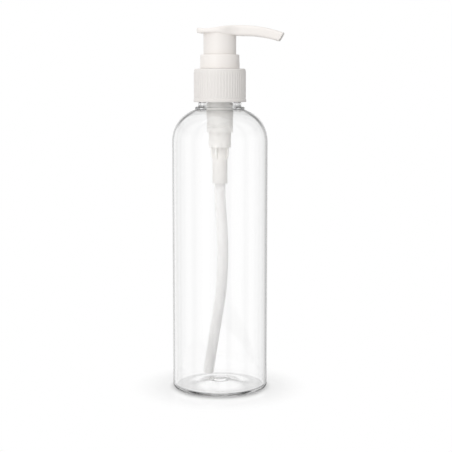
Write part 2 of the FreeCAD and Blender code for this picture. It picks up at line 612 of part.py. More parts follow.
def make_stem():
    body = new_body("stem")
    shoulder_r = "stem_shoulder_diameter / 2"
    turned(body, "stem_tube", [
        ("STEM_BORE_R", "STEM_Z"),
        ("STEM_R", "STEM_Z"),
        ("STEM_R", "SHOULDER_Z"),
        (shoulder_r, "SHOULDER_Z"),
        (shoulder_r, "SHOULDER_TOP_Z"),
        ("STEM_R", "SHOULDER_TOP_Z"),
        ("STEM_R", "STEM_TOP_Z - socket_end_gap"),
        ("STEM_BORE_R", "STEM_TOP_Z - socket_end_gap"),
    ])
    return body


def make_piston():
    body = new_body("piston")
    hub_r = "GUIDE_R + piston_hub_wall"
    lip_r = "BORE_R - piston_gap"
    inner_lip_r = "BORE_R - piston_gap - piston_lip_wall"
    low_web_z = "PISTON_Z + (piston_height - piston_web) / 2"
    high_web_z = "PISTON_Z + (piston_height + piston_web) / 2"
    turned(body, "piston_ring", [
        ("GUIDE_R", "PISTON_Z"),
        (hub_r, "PISTON_Z"),
        (hub_r, low_web_z),
        (inner_lip_r, low_web_z),
        (inner_lip_r, f"{low_web_z} - piston_lip"),
        (lip_r, f"{low_web_z} - piston_lip"),
        (lip_r, low_web_z),
        (inner_lip_r, "PISTON_Z + piston_height / 2"),
        (lip_r, high_web_z),
        (lip_r, f"{high_web_z} + piston_lip"),
        (inner_lip_r, f"{high_web_z} + piston_lip"),
        (inner_lip_r, high_web_z),
        (hub_r, high_web_z),
        (hub_r, "PISTON_TOP_Z"),
        ("GUIDE_R", "PISTON_TOP_Z"),
    ])
    return body


def make_valve_pin():
    body = new_body("valve_pin")
    spigot_r = "STEM_BORE_R - press_gap"
    spigot_z = "STEM_Z + pin_grip"
    boss_r = "COIL_R - spring_wire / 2 - pin_boss_gap"
    turned(body, "pin_shape", [
        ("0", "PIN_UNDER_Z - pin_boss_height"),
        (boss_r, "PIN_UNDER_Z - pin_boss_height"),
        (boss_r, "PIN_UNDER_Z"),
        ("pin_head_diameter / 2", "PIN_UNDER_Z"),
        ("pin_head_diameter / 2", "PIN_Z"),
        (spigot_r, "PIN_Z"),
        (spigot_r, spigot_z),
        ("0", spigot_z),
    ])
    flute_sketch = new_sketch(body, "flute_outline", "XZ_Plane")
    flute_r, flute_end_z = f"{spigot_r} - pin_flute_depth", f"{spigot_z} + pin_flute_width"
    outline(flute_sketch, rectangle(flute_r, "STEM_R", "PIN_Z", flute_end_z))
    flute = body.newObject("PartDesign::Pocket", "flute")
    flute.Profile = flute_sketch
    flute.Midplane = True
    bind(flute, "Length", "pin_flute_width")
    repeated(body, "flutes", flute, "pin_flute_count")
    return body


def arc_from(start, control, end):
    # the arc that leaves start towards control and reaches end, both equally far from control
    chord = end - start
    lean = (control - start).getAngle(chord)
    middle = (start + end) * 0.5
    bulge = chord.Length / 2 * math.tan(lean / 2)
    return Part.Arc(start, middle + (control - middle).normalize() * bulge, end)


def make_spring():
    # a round wire along a helix, drawn as two arcs for each quarter turn
    coil_r = number("COIL_R")
    wire_r = number("spring_wire / 2")
    low_z = number("SPRING_Z + spring_seat_gap") + wire_r
    rise = number("PIN_UNDER_Z - spring_seat_gap") - wire_r - low_z
    turns = round(number("spring_turns"))
    slope = rise / (2 * math.pi * turns)

    def place(angle):
        return V(coil_r * math.cos(angle), coil_r * math.sin(angle), low_z + slope * angle)

    def heading(angle):
        return V(-coil_r * math.sin(angle), coil_r * math.cos(angle), slope).normalize()

    edges = []
    quarter = math.pi / 2
    for index in range(4 * turns):
        start, end = place(index * quarter), place((index + 1) * quarter)
        leave, arrive = heading(index * quarter), heading((index + 1) * quarter)
        span = end - start
        both = leave + arrive
        square = 4 - both.dot(both)
        along = span.dot(both)
        reach = (math.sqrt(along ** 2 + square * span.dot(span)) - along) / square
        first, second = start + leave * reach, end - arrive * reach
        joint = (first + second) * 0.5
        edges.append(arc_from(start, first, joint).toShape())
        edges.append(arc_from(joint, second, end).toShape())
    path = Part.Wire(edges)
    section = Part.Wire(Part.Circle(place(0), heading(0), wire_r).toShape())
    spring = doc.addObject("Part::Feature", "spring")
    spring.Label = "spring"
    spring.Shape = path.makePipeShell([section], True, False)
    spring.Placement = FreeCAD.Placement()
    steps = 24
    points = [place(2 * math.pi * step / steps) for step in range(steps * turns + 1)]
    least = min((point - other).Length for index, point in enumerate(points)
                for other in points[index + steps // 2:])
    print(f"spring: least gap to itself {least - 2 * wire_r:.2f} mm, length of wire {path.Length:.1f} mm")
    return spring


def named_edges(shape, wanted):
    return [f"Edge{index}" for index, edge in enumerate(shape.Edges, start=1) if wanted(edge)]


def rounded(body, name, base, edges, radius):
    feature = body.newObject("PartDesign::Fillet", name)
    feature.Base = (base, edges)
    bind(feature, "Radius", radius)
    doc.recompute()
    return feature


def make_actuator():
    # the pad and spout are cut from a side outline and a top outline, and stand on a hollow skirt
    body = new_body("actuator")
    valley_z = "PLATE_Z + crest_rise - CREST_R + sqrt(CREST_R^2 - (crest_offset + pad_offset)^2)"
    side_sketch = new_sketch(body, "side_outline", "XZ_Plane")
    outline(side_sketch, [
        ("-lip_reach", "PLATE_Z"),
        ("0", "PLATE_Z"),
        ("belly_offset", "PLATE_Z - belly_drop",
         ("belly_offset", "PLATE_Z - belly_drop - BELLY_R", "BELLY_R")),
        ("TIP_LOW_X", "PLATE_Z - TIP_LOW_DROP"),
        ("TIP_HIGH_X", "PLATE_Z - TIP_HIGH_DROP",
         ("crest_offset", "PLATE_Z + crest_rise - CREST_R", "CREST_R")),
        ("-pad_offset", valley_z),
        ("-lip_reach", "PLATE_Z + lip_thickness"),
    ])
    slab = body.newObject("PartDesign::Pad", "side_slab")
    slab.Profile = side_sketch
    slab.Midplane = True
    bind(slab, "Length", "pad_width + 2 * head_rounding")
    doc.recompute()
    valley = named_edges(slab.Shape, lambda edge: max(edge.BoundBox.XLength, edge.BoundBox.ZLength) < TINY
                         and abs(edge.CenterOfMass.x + number("pad_offset")) < TINY)
    dip = rounded(body, "pad_dip", slab, valley, "pad_dip_radius")

    top_sketch = new_sketch(body, "top_outline", "XY_Plane")
    half_pad, half_arm, half_tip = "pad_width / 2", "arm_width / 2", "tip_width / 2"
    corner_x = "-lip_reach + lip_corner"
    side_y = f"{half_pad} - lip_corner"
    outer_centre = ("0", f"{half_pad} - waist_outer_radius")
    turn_x = "waist_outer_radius * sin(WAIST_TURN)"
    turn_y = f"{half_pad} - waist_outer_radius * (1 - cos(WAIST_TURN))"
    arm_x = "(waist_outer_radius + waist_inner_radius) * sin(WAIST_TURN)"
    right_side = [
        ("-lip_reach", side_y, (corner_x, side_y, "lip_corner")),
        (corner_x, half_pad),
        ("0", half_pad, (*outer_centre, "waist_outer_radius")),
        (turn_x, turn_y, (arm_x, f"{half_arm} + waist_inner_radius", "waist_inner_radius")),
        (arm_x, half_arm),
        ("TIP_HIGH_X + head_rounding", half_tip),
    ]
    left_side = [
        ("TIP_HIGH_X + head_rounding", f"-({half_tip})"),
        (arm_x, f"-({half_arm})", (arm_x, f"-({half_arm} + waist_inner_radius)", "waist_inner_radius")),
        (turn_x, f"-({turn_y})", ("0", f"-({outer_centre[1]})", "waist_outer_radius")),
        ("0", f"-({half_pad})"),
        (corner_x, f"-({half_pad})", (corner_x, f"-({side_y})", "lip_corner")),
        ("-lip_reach", f"-({side_y})"),
    ]
    outline(top_sketch, right_side + left_side)
    beyond = "TIP_HIGH_X + 2 * head_rounding"
    outline(top_sketch, rectangle(f"-({beyond})", beyond, "-pad_width", "pad_width"))
    raised(top_sketch, "PLATE_Z")
    trim = body.newObject("PartDesign::Pocket", "top_trim")
    trim.Profile = top_sketch
    trim.Midplane = True
    bind(trim, "Length", "skirt_show + RING_TOP_Z - SKIRT_Z")
    doc.recompute()
    print(f"actuator: trim removes {dip.Shape.Volume - trim.Shape.Volume:.1f} mm3")
    rim = named_edges(trim.Shape, lambda edge: edge.CenterOfMass.z > number("PLATE_Z + lip_thickness / 2")
                      and edge.BoundBox.ZLength < max(edge.BoundBox.XLength, edge.BoundBox.YLength)
                      and (abs(edge.CenterOfMass.y) > TINY
                           or edge.CenterOfMass.x < TINY - number("lip_reach")))
    rounded(body, "head_edges", trim, rim, "min(head_rounding; lip_thickness / 3)")

    socket_r = "GUIDE_R + socket_wall"
    skirt_bore_r = "SKIRT_R - skirt_wall"
    buried_z = "PLATE_Z + head_rounding"
    turned(body, "skirt", [
        ("0", "STEM_TOP_Z"),
        ("GUIDE_R", "STEM_TOP_Z"),
        ("GUIDE_R", "ACTUATOR_SOCKET_Z"),
        (socket_r, "ACTUATOR_SOCKET_Z"),
        (socket_r, "ROOF_Z"),
        (skirt_bore_r, "ROOF_Z"),
        (skirt_bore_r, "SKIRT_Z"),
        ("SKIRT_R", "SKIRT_Z"),
        ("SKIRT_R", buried_z),
        ("0", buried_z),
    ])
    make_duct(body)
    return body


def circle_through(first, second, third):
    # centre of the circle through three points of a sketch
    along, across = second - first, third - first
    turn = 2 * along.cross(across).z
    x = (across.y * along.dot(along) - along.y * across.dot(across)) / turn
    y = (along.x * across.dot(across) - across.x * along.dot(along)) / turn
    return first + V(x, y, 0)


def make_duct(body):
    # from the stem's top up into the pad, then along the middle of the spout and out of its mouth
    start_z = "PLATE_Z + duct_height"
    crest_z = "PLATE_Z + (crest_rise - belly_drop) / 2"
    mouth_z = "PLATE_Z - tip_drop"
    turned(body, "riser", rectangle("0", "STEM_BORE_R", "STEM_TOP_Z", start_z), "Groove")
    start = V(0, number(start_z), 0)
    crest = V(number("crest_offset"), number(crest_z), 0)
    mouth = V(number("tip_offset"), number(mouth_z), 0)
    centre = circle_through(start, crest, mouth)
    from_mouth = math.atan2(mouth.y - centre.y, mouth.x - centre.x)
    from_start = math.atan2(start.y - centre.y, start.x - centre.x)
    onward = V(math.sin(from_mouth), -math.cos(from_mouth), 0) * number("tip_depth")
    path = new_sketch(body, "duct_path", "XZ_Plane")
    circle = Part.Circle(centre, UP, (mouth - centre).Length)
    path.addGeometry(Part.ArcOfCircle(circle, from_mouth, from_start), False)
    path.addGeometry(Part.LineSegment(mouth, mouth + onward), False)
    path.addGeometry(Part.Point(crest), True)
    held = [(0, 2, "0", start_z), (0, 1, "tip_offset", mouth_z), (2, 1, "crest_offset", crest_z)]
    for shape, end, x, z in held:
        hold(path, "DistanceX", shape, end, x)
        hold(path, "DistanceY", shape, end, z)
    path.addConstraint(Sketcher.Constraint("PointOnObject", 2, 1, 0))
    path.addConstraint(Sketcher.Constraint("Tangent", 0, 1, 1, 1))
    length = path.addConstraint(Sketcher.Constraint("Distance", 1, number("tip_depth")))
    bind(path, f"Constraints[{length}]", "tip_depth")
    section = new_sketch(body, "duct_section", "YZ_Plane")
    circles(section, ("0", start_z), "duct_diameter / 2")
    doc.recompute()
    duct = body.newObject("PartDesign::SubtractivePipe", "duct")
    duct.Profile = section
    duct.Spine = path


bodies = [
    make_bottle(),
    make_gasket(),
    make_housing(),
    make_inlet_ball(),
    make_dip_tube(),
    make_closure(),
    make_lock_ring(),
    make_stem(),
    make_piston(),
    make_valve_pin(),
    make_spring(),
    make_actuator(),
]
doc.recompute()

for thing in doc.Objects:
    if "Invalid" in thing.State or "Error" in thing.State:
        raise RuntimeError(f"{thing.Label} failed: {thing.State}")
for piece in bodies:
    if piece.Shape.isNull() or not piece.Shape.isValid() or len(piece.Shape.Solids) != 1:
        raise RuntimeError(f"{piece.Label} is not one valid solid")

os.makedirs("parts", exist_ok=True)
for piece in bodies:
    piece.Shape.exportStep(f"parts/{piece.Label}.step")
    box = piece.Shape.BoundBox
    print(f"{piece.Label}: {piece.Shape.Volume:.1f} mm3, z {box.ZMin:.2f} to {box.ZMax:.2f}")
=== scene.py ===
import bmesh
import bpy
import math
from mathutils import Matrix, Vector


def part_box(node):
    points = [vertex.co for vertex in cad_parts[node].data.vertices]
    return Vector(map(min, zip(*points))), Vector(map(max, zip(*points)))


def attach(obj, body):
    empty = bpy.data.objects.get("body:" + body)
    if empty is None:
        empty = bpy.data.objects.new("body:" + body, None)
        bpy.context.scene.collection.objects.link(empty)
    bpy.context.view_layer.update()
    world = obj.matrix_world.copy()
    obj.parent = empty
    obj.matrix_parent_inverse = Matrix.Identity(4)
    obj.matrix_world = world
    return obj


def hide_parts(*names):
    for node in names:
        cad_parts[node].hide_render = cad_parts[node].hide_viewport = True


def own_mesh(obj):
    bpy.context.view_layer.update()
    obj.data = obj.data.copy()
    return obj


# Pump oil bottle: clear bottle, white lotion pump, milky barrel and dip tube
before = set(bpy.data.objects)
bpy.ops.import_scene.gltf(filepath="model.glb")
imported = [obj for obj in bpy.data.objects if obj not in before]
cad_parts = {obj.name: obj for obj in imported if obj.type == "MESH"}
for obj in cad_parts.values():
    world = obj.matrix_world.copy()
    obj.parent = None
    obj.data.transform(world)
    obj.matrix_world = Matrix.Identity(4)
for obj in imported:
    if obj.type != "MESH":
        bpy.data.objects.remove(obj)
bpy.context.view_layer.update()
mm = 0.001
print("frame loaded:", len(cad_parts), "nodes")


# Mesh helpers, all in millimetres until the mesh is written

def softCorners(corners, segments=5):
    # corners are (r, z) or (r, z, rounding); a closed loop comes back with its corners rounded
    points = []
    count = len(corners)
    for index, corner in enumerate(corners):
        here = Vector(corner[:2])
        rounding = corner[2] if len(corner) > 2 else 0
        if not rounding:
            points.append(here)
            continue
        back = Vector(corners[index - 1][:2]) - here
        ahead = Vector(corners[(index + 1) % count][:2]) - here
        half = back.angle(ahead) / 2
        reach = min(rounding / math.tan(half), 0.45 * back.length, 0.45 * ahead.length)
        radius = reach * math.tan(half)
        back.normalize()
        ahead.normalize()
        centre = here + (back + ahead).normalized() * (radius / math.sin(half))
        start = here + back * reach - centre
        sweep = start.angle_signed(here + ahead * reach - centre)
        for step in range(segments + 1):
            angle = -sweep * step / segments
            turned = Vector((start.x * math.cos(angle) - start.y * math.sin(angle),
                             start.x * math.sin(angle) + start.y * math.cos(angle)))
            points.append(centre + turned)
    return points


def arcRun(centre, radius, first, last, segments):
    # points along an arc, angles in degrees
    points = []
    for step in range(segments + 1):
        turn = math.radians(first + (last - first) * step / segments)
        points.append(Vector((centre[0] + radius * math.cos(turn), centre[1] + radius * math.sin(turn))))
    return points


def straightRun(start, end, segments):
    start, end = Vector(start), Vector(end)
    return [start.lerp(end, step / segments) for step in range(segments + 1)]


def spread(first, last, count):
    # evenly spaced numbers after the first, up to the last
    return [first + (last - first) * step / count for step in range(1, count + 1)]


def skin(rings, loop=False, caps=False):
    # verts and faces over rings of points; a ring of one point is a pole
    verts, faces, starts = [], [], []
    for ring in rings:
        starts.append(len(verts))
        verts += ring
    pairs = list(zip(range(len(rings) - 1), range(1, len(rings))))
    if loop:
        pairs.append((len(rings) - 1, 0))
    for low, high in pairs:
        lowCount, highCount = len(rings[low]), len(rings[high])
        for step in range(max(lowCount, highCount)):
            after = step + 1
            face = [starts[low] + step % lowCount]
            if lowCount > 1:
                face.append(starts[low] + after % lowCount)
            face.append(starts[high] + after % highCount)
            if highCount > 1:
                face.append(starts[high] + step % highCount)
            faces.append(face)
    if caps:
        faces.append([starts[0] + step for step in range(len(rings[0]))])
        faces.append([starts[-1] + step for step in range(len(rings[-1]))])
    return verts, faces


def turnedRings(points, steps, radial=None):
    # rings round the Z axis; radial(angle, r, z) may change the radius
    rings = []
    for r, z in points:
        if r < 1e-6:
            rings.append([Vector((0, 0, z))])
            continue
        ring = []
        for step in range(steps):
            angle = 2 * math.pi * step / steps
            reach = radial(angle, r, z) if radial else r
            ring.append(Vector((reach * math.cos(angle), reach * math.sin(angle), z)))
        rings.append(ring)
    return rings


def meshPiece(name, verts, faces, sharpAngle=40):
    mesh = bpy.data.meshes.new(name)
    mesh.from_pydata([vert * mm for vert in verts], [], faces)
    work = bmesh.new()
    work.from_mesh(mesh)
    bmesh.ops.remove_doubles(work, verts=work.verts, dist=1e-7)
    bmesh.ops.recalc_face_normals(work, faces=work.faces)
    work.to_mesh(mesh)
    work.free()
    mesh.shade_smooth()
    mesh.set_sharp_from_angle(angle=math.radians(sharpAngle))
    piece = bpy.data.objects.new(name, mesh)
    bpy.context.scene.collection.objects.link(piece)
    return piece


def place(piece, body, node, material):
    piece.data.materials.clear()
    piece.data.materials.append(material)
    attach(piece, body)
    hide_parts(node)
    return piece


def combine(piece, tool, operation):
    # boolean of two closed pieces; the tool goes away
    modifier = piece.modifiers.new("combine", "BOOLEAN")
    modifier.operation = operation
    modifier.solver = "EXACT"
    modifier.object = tool
    graph = bpy.context.evaluated_depsgraph_get()
    mesh = bpy.data.meshes.new_from_object(piece.evaluated_get(graph))
    piece.modifiers.clear()
    piece.data = mesh
    bpy.data.objects.remove(tool)
    return piece


def threadRise(angle, z, thread, lowZ):
    # height of the thread ridge at one place on the wall
    rise = 0
    for turn in range(math.ceil(thread["turns"])):
        along = angle + 2 * math.pi * turn
        left = 2 * math.pi * thread["turns"] - along
        if left < 0:
            continue
        away = abs(z - lowZ - thread["pitch"] * along / (2 * math.pi))
        flank = (thread["foot"] - thread["crest"]) / 2
        height = thread["depth"] * min(1, max(0, (thread["foot"] / 2 - away) / flank))
        fade = min(1, along / thread["runOut"], left / thread["runOut"])
        rise = max(rise, height * fade)
    return rise


# Shared shader groups

def nodeIn(tree, kind, **values):
    node = tree.nodes.new(kind)
    for key, value in values.items():
        setattr(node, key, value)
    return node


def newGroup(name, inputs, outputs):
    group = bpy.data.node_groups.new(name, "ShaderNodeTree")
    for label, kind, value in inputs:
        socket = group.interface.new_socket(label, in_out="INPUT", socket_type="NodeSocket" + kind)
        socket.default_value = value
    for label, kind in outputs:
        group.interface.new_socket(label, in_out="OUTPUT", socket_type="NodeSocket" + kind)
    entry = group.nodes.new("NodeGroupInput")
    leave = group.nodes.new("NodeGroupOutput")
    return group, entry, leave


def mouldedSkinGroup():
    # soft colour drift, satin patches and fine grain of moulded plastic
    group, entry, leave = newGroup("mouldedSkin", [
        ("Colour", "Color", (0.9, 0.9, 0.9, 1)),
        ("Shade Colour", "Color", (0.8, 0.8, 0.8, 1)),
        ("Drift Size", "Float", 60.0),
        ("Grain Size", "Float", 2500.0),
        ("Roughness", "Float", 0.3),
        ("Roughness Spread", "Float", 0.08),
    ], [("Color", "Color"), ("Roughness", "Float"), ("Height", "Float")])
    link = group.links.new
    where = nodeIn(group, "ShaderNodeTexCoord")
    drift = nodeIn(group, "ShaderNodeTexNoise")
    drift.inputs["Detail"].default_value = 3
    link(where.outputs["Object"], drift.inputs["Vector"])
    link(entry.outputs["Drift Size"], drift.inputs["Scale"])
    tint = nodeIn(group, "ShaderNodeMix", data_type="RGBA")
    link(drift.outputs["Fac"], tint.inputs["Factor"])
    link(entry.outputs["Colour"], tint.inputs["A"])
    link(entry.outputs["Shade Colour"], tint.inputs["B"])
    link(tint.outputs["Result"], leave.inputs["Color"])
    grain = nodeIn(group, "ShaderNodeTexNoise")
    grain.inputs["Detail"].default_value = 2
    link(where.outputs["Object"], grain.inputs["Vector"])
    link(entry.outputs["Grain Size"], grain.inputs["Scale"])
    link(grain.outputs["Fac"], leave.inputs["Height"])
    centred = nodeIn(group, "ShaderNodeMath", operation="SUBTRACT")
    link(drift.outputs["Fac"], centred.inputs[0])
    centred.inputs[1].default_value = 0.5
    satin = nodeIn(group, "ShaderNodeMath", operation="MULTIPLY_ADD")
    link(centred.outputs[0], satin.inputs[0])
    link(entry.outputs["Roughness Spread"], satin.inputs[1])
    link(entry.outputs["Roughness"], satin.inputs[2])
    link(satin.outputs[0], leave.inputs["Roughness"])
    return group


def drawnLinesGroup():
    # fine lines along Z, as on extruded tube and drawn wire
    group, entry, leave = newGroup("drawnLines", [
        ("Line Density", "Float", 900.0),
        ("Stretch", "Float", 0.02),
    ], [("Mask", "Float"), ("Height", "Float")])
    link = group.links.new
    where = nodeIn(group, "ShaderNodeTexCoord")
    squeeze = nodeIn(group, "ShaderNodeCombineXYZ")
    squeeze.inputs["X"].default_value = 1
    squeeze.inputs["Y"].default_value = 1
    link(entry.outputs["Stretch"], squeeze.inputs["Z"])
    stretched = nodeIn(group, "ShaderNodeVectorMath", operation="MULTIPLY")
    link(where.outputs["Object"], stretched.inputs[0])
    link(squeeze.outputs["Vector"], stretched.inputs[1])
    lines = nodeIn(group, "ShaderNodeTexNoise")
    lines.inputs["Detail"].default_value = 4
    link(stretched.outputs["Vector"], lines.inputs["Vector"])
    link(entry.outputs["Line Density"], lines.inputs["Scale"])
    sharpen = nodeIn(group, "ShaderNodeMapRange")
    sharpen.inputs["From Min"].default_value = 0.35
    sharpen.inputs["From Max"].default_value = 0.65
    link(lines.outputs["Fac"], sharpen.inputs["Value"])
    link(sharpen.outputs["Result"], leave.inputs["Mask"])
    link(lines.outputs["Fac"], leave.inputs["Height"])
    return group


skinGroup = mouldedSkinGroup()
linesGroup = drawnLinesGroup()
print("shader groups built")


def newMaterial(name):
    material = bpy.data.materials.new(name)
    material.use_nodes = True
    tree = material.node_tree
    shader = next(node for node in tree.nodes if node.type == "BSDF_PRINCIPLED")
    return material, tree, shader


def groupIn(tree, group, **values):
    node = tree.nodes.new("ShaderNodeGroup")
    node.node_tree = group
    for label, value in values.items():
        node.inputs[label].default_value = value
    return node


def plasticMaterial(name, finish):
    # moulded plastic: colour drift, roughness and grain from the shared skin
    material, tree, shader = newMaterial(name)
    moulded = groupIn(tree, skinGroup, **{
        "Colour": (*finish["colour"], 1),
        "Shade Colour": (*finish["shade"], 1),
        "Drift Size": finish["drift"],
        "Grain Size": finish["grain"],
        "Roughness": finish["roughness"],
        "Roughness Spread": finish["spread"],
    })
    tree.links.new(moulded.outputs["Color"], shader.inputs["Base Color"])
    tree.links.new(moulded.outputs["Roughness"], shader.inputs["Roughness"])
    bump = tree.nodes.new("ShaderNodeBump")
    bump.inputs["Strength"].default_value = finish["bump"]
    bump.inputs["Distance"].default_value = finish["bumpDepth"] * mm
    tree.links.new(moulded.outputs["Height"], bump.inputs["Height"])
    tree.links.new(bump.outputs["Normal"], shader.inputs["Normal"])
    shader.inputs["IOR"].default_value = finish.get("ior", 1.49)
    shader.inputs["Transmission Weight"].default_value = finish.get("seeThrough", 0)
    shader.inputs["Subsurface Weight"].default_value = finish.get("glow", 0)
    shader.inputs["Subsurface Radius"].default_value = (1, 1, 1)
    shader.inputs["Subsurface Scale"].default_value = finish.get("glowDepth", 1) * mm
    return material


def letLightThrough(material, shader, tint):
    # lamps pass the wall, so that what is inside is lit
    tree = material.node_tree
    output = next(node for node in tree.nodes if node.type == "OUTPUT_MATERIAL")
    path = tree.nodes.new("ShaderNodeLightPath")
    clear = tree.nodes.new("ShaderNodeBsdfTransparent")
    clear.inputs["Color"].default_value = (*tint, 1)
    either = tree.nodes.new("ShaderNodeMixShader")
    tree.links.new(path.outputs["Is Shadow Ray"], either.inputs["Fac"])
    tree.links.new(shader.outputs["BSDF"], either.inputs[1])
    tree.links.new(clear.outputs["BSDF"], either.inputs[2])
    tree.links.new(either.outputs["Shader"], output.inputs["Surface"])


# Finishes

clearFinish = {
    "ior": 1.45,
    "roughness": 0.0,
    "ripple": 0.06,            # waviness of the blown wall
    "rippleSize": 70.0,
    "rippleDepth": 0.08,       # mm
    # grey of the painted edge shade that the wall's absorption gives
    "paintedEdgeShadeColour": (0.1, 0.1, 0.1),
    "paintedEdgeShadeDensity": 4.0,           # absorption per metre of wall, kept low so the thin wall stays clear; it darkens the long runs at rims, neck and base as painted shade
    "lampTint": (0.98, 0.975, 0.967),
}


def clearMaterial():
    material, tree, shader = newMaterial("clearBottle")
    shader.inputs["Base Color"].default_value = (1, 1, 1, 1)
    shader.inputs["Roughness"].default_value = clearFinish["roughness"]
    shader.inputs["IOR"].default_value = clearFinish["ior"]
    shader.inputs["Transmission Weight"].default_value = 1
    where = tree.nodes.new("ShaderNodeTexCoord")
    ripple = tree.nodes.new("ShaderNodeTexNoise")
    ripple.inputs["Scale"].default_value = clearFinish["rippleSize"]
    ripple.inputs["Detail"].default_value = 1
    tree.links.new(where.outputs["Object"], ripple.inputs["Vector"])
    bump = tree.nodes.new("ShaderNodeBump")
    bump.inputs["Strength"].default_value = clearFinish["ripple"]
    bump.inputs["Distance"].default_value = clearFinish["rippleDepth"] * mm
    tree.links.new(ripple.outputs["Fac"], bump.inputs["Height"])
    tree.links.new(bump.outputs["Normal"], shader.inputs["Normal"])
    letLightThrough(material, shader, clearFinish["lampTint"])
    output = next(node for node in tree.nodes if node.type == "OUTPUT_MATERIAL")
    # painted edge shade: the wall's grey absorption darkens the long runs of light through it, at the
    # rims, the neck and the base contour
    inside = tree.nodes.new("ShaderNodeVolumeAbsorption")
    inside.inputs["Color"].default_value = (*clearFinish["paintedEdgeShadeColour"], 1)
    inside.inputs["Density"].default_value = clearFinish["paintedEdgeShadeDensity"]
    tree.links.new(inside.outputs["Volume"], output.inputs["Volume"])
    return material


pumpFinish = {
    "colour": (0.9, 0.862, 0.83), "shade": (0.88, 0.842, 0.81), "drift": 45.0, "grain": 3200.0,
    "roughness": 0.3, "spread": 0.1, "bump": 0.12, "bumpDepth": 0.02, "glow": 0.12, "glowDepth": 1.5,
}
closureFinish = {
    "colour": (0.81, 0.782, 0.758), "shade": (0.785, 0.757, 0.733), "drift": 45.0, "grain": 2600.0,
    "roughness": 0.42, "spread": 0.1, "bump": 0.2, "bumpDepth": 0.02, "glow": 0.12, "glowDepth": 1.2,
}
housingFinish = {
    "colour": (0.88, 0.858, 0.828), "shade": (0.86, 0.838, 0.808), "drift": 90.0, "grain": 1800.0,
    "roughness": 0.5, "spread": 0.12, "bump": 0.1, "bumpDepth": 0.02, "seeThrough": 0.15, "ior": 1.45,
    "glow": 0.9, "glowDepth": 2.0,
}
tubeFinish = {
    "colour": (0.92, 0.908, 0.893), "shade": (0.9, 0.888, 0.873), "drift": 120.0, "grain": 1500.0,
    "roughness": 0.55, "spread": 0.12, "bump": 0.08, "bumpDepth": 0.02, "seeThrough": 0.0, "ior": 1.4,
    "glow": 0.7, "glowDepth": 6.0,
}
gasketFinish = {
    "colour": (0.86, 0.86, 0.85), "shade": (0.8, 0.8, 0.79), "drift": 200.0, "grain": 4000.0,
    "roughness": 0.8, "spread": 0.1, "bump": 0.5, "bumpDepth": 0.05,
}
pistonFinish = {
    "colour": (0.87, 0.88, 0.87), "shade": (0.82, 0.83, 0.82), "drift": 100.0, "grain": 2500.0,
    "roughness": 0.5, "spread": 0.1, "bump": 0.15, "bumpDepth": 0.02, "glow": 0.2, "glowDepth": 1.0,
}
metalFinish = {
    "wire": (0.62, 0.63, 0.65), "ball": (0.74, 0.75, 0.76),
    "wireRoughness": (0.22, 0.4), "ballRoughness": (0.06, 0.14),
    "lineDensity": 1400.0, "lineStretch": 0.2, "bump": 0.1, "bumpDepth": 0.01,
}


def metalMaterial(name, colour, roughness):
    material, tree, shader = newMaterial(name)
    shader.inputs["Base Color"].default_value = (*colour, 1)
    shader.inputs["Metallic"].default_value = 1
    lines = groupIn(tree, linesGroup, **{
        "Line Density": metalFinish["lineDensity"],
        "Stretch": metalFinish["lineStretch"],
    })
    between = tree.nodes.new("ShaderNodeMapRange")
    between.inputs["To Min"].default_value = roughness[0]
    between.inputs["To Max"].default_value = roughness[1]
    tree.links.new(lines.outputs["Mask"], between.inputs["Value"])
    tree.links.new(between.outputs["Result"], shader.inputs["Roughness"])
    bump = tree.nodes.new("ShaderNodeBump")
    bump.inputs["Strength"].default_value = metalFinish["bump"]
    bump.inputs["Distance"].default_value = metalFinish["bumpDepth"] * mm
    tree.links.new(lines.outputs["Height"], bump.inputs["Height"])
    tree.links.new(bump.outputs["Normal"], shader.inputs["Normal"])
    return material


clearBottle = clearMaterial()
whitePump = plasticMaterial("whitePump", pumpFinish)
whiteClosure = plasticMaterial("whiteClosure", closureFinish)
milkyHousing = plasticMaterial("milkyHousing", housingFinish)
milkyTube = plasticMaterial("milkyTube", tubeFinish)
gasketFoam = plasticMaterial("gasketFoam", gasketFinish)
softPiston = plasticMaterial("softPiston", pistonFinish)
springWire = metalMaterial("springWire", metalFinish["wire"], metalFinish["wireRoughness"])
polishedBall = metalMaterial("polishedBall", metalFinish["ball"], metalFinish["ballRoughness"])
print("materials built")


# Bottle

neckThread = {
    "pitch": 3.175,
    "turns": 1.5,
    "depth": 1.05,
    "foot": 1.9,
    "crest": 0.8,
    "topGap": 2.6,             # mouth to the thread's upper end
    "runOut": 0.4,             # radians over which the ends fade
}

bottleSizes = {
    "wall": 1.7,
    "neckWallIn": 1.3,         # wall where the shoulder meets the neck
    "heel": 2.2,
    "innerHeel": 1.2,
    "standWidth": 4.8,
    "pushUp": 3.0,
    "floor": 1.8,
    "shoulderZ": 132.0,
    "shoulderRise": 17.7,
    "shoulderFull": 0.35,      # how far the shoulder swells beyond its plain arc
    "ledgeRadius": 13.05,
    "ledgeThick": 1.4,
    "ledgeEdge": 1.0,
    "ledgeFoot": 0.6,
    "shankRadius": 11.35,
    "shankHeight": 2.0,
    "rootRadius": 10.8,
    "boreRadius": 8.9,
    "baseMarks": [             # rings that the mould leaves under the base: radius, half width, depth
        (3.7, 1.4, 0.12),
        (11.8, 3.0, 0.08),
    ],
    "boreRun": 4.0,            # straight bore below the mouth
    "domeSteps": 48,
    "standSteps": 3,
    "heelSteps": 14,
    "innerHeelSteps": 12,
    "wallSteps": 24,
    "shoulderSteps": 40,
    "threadRows": 44,
    "around": 256,
    "sharpAngle": 60,
}


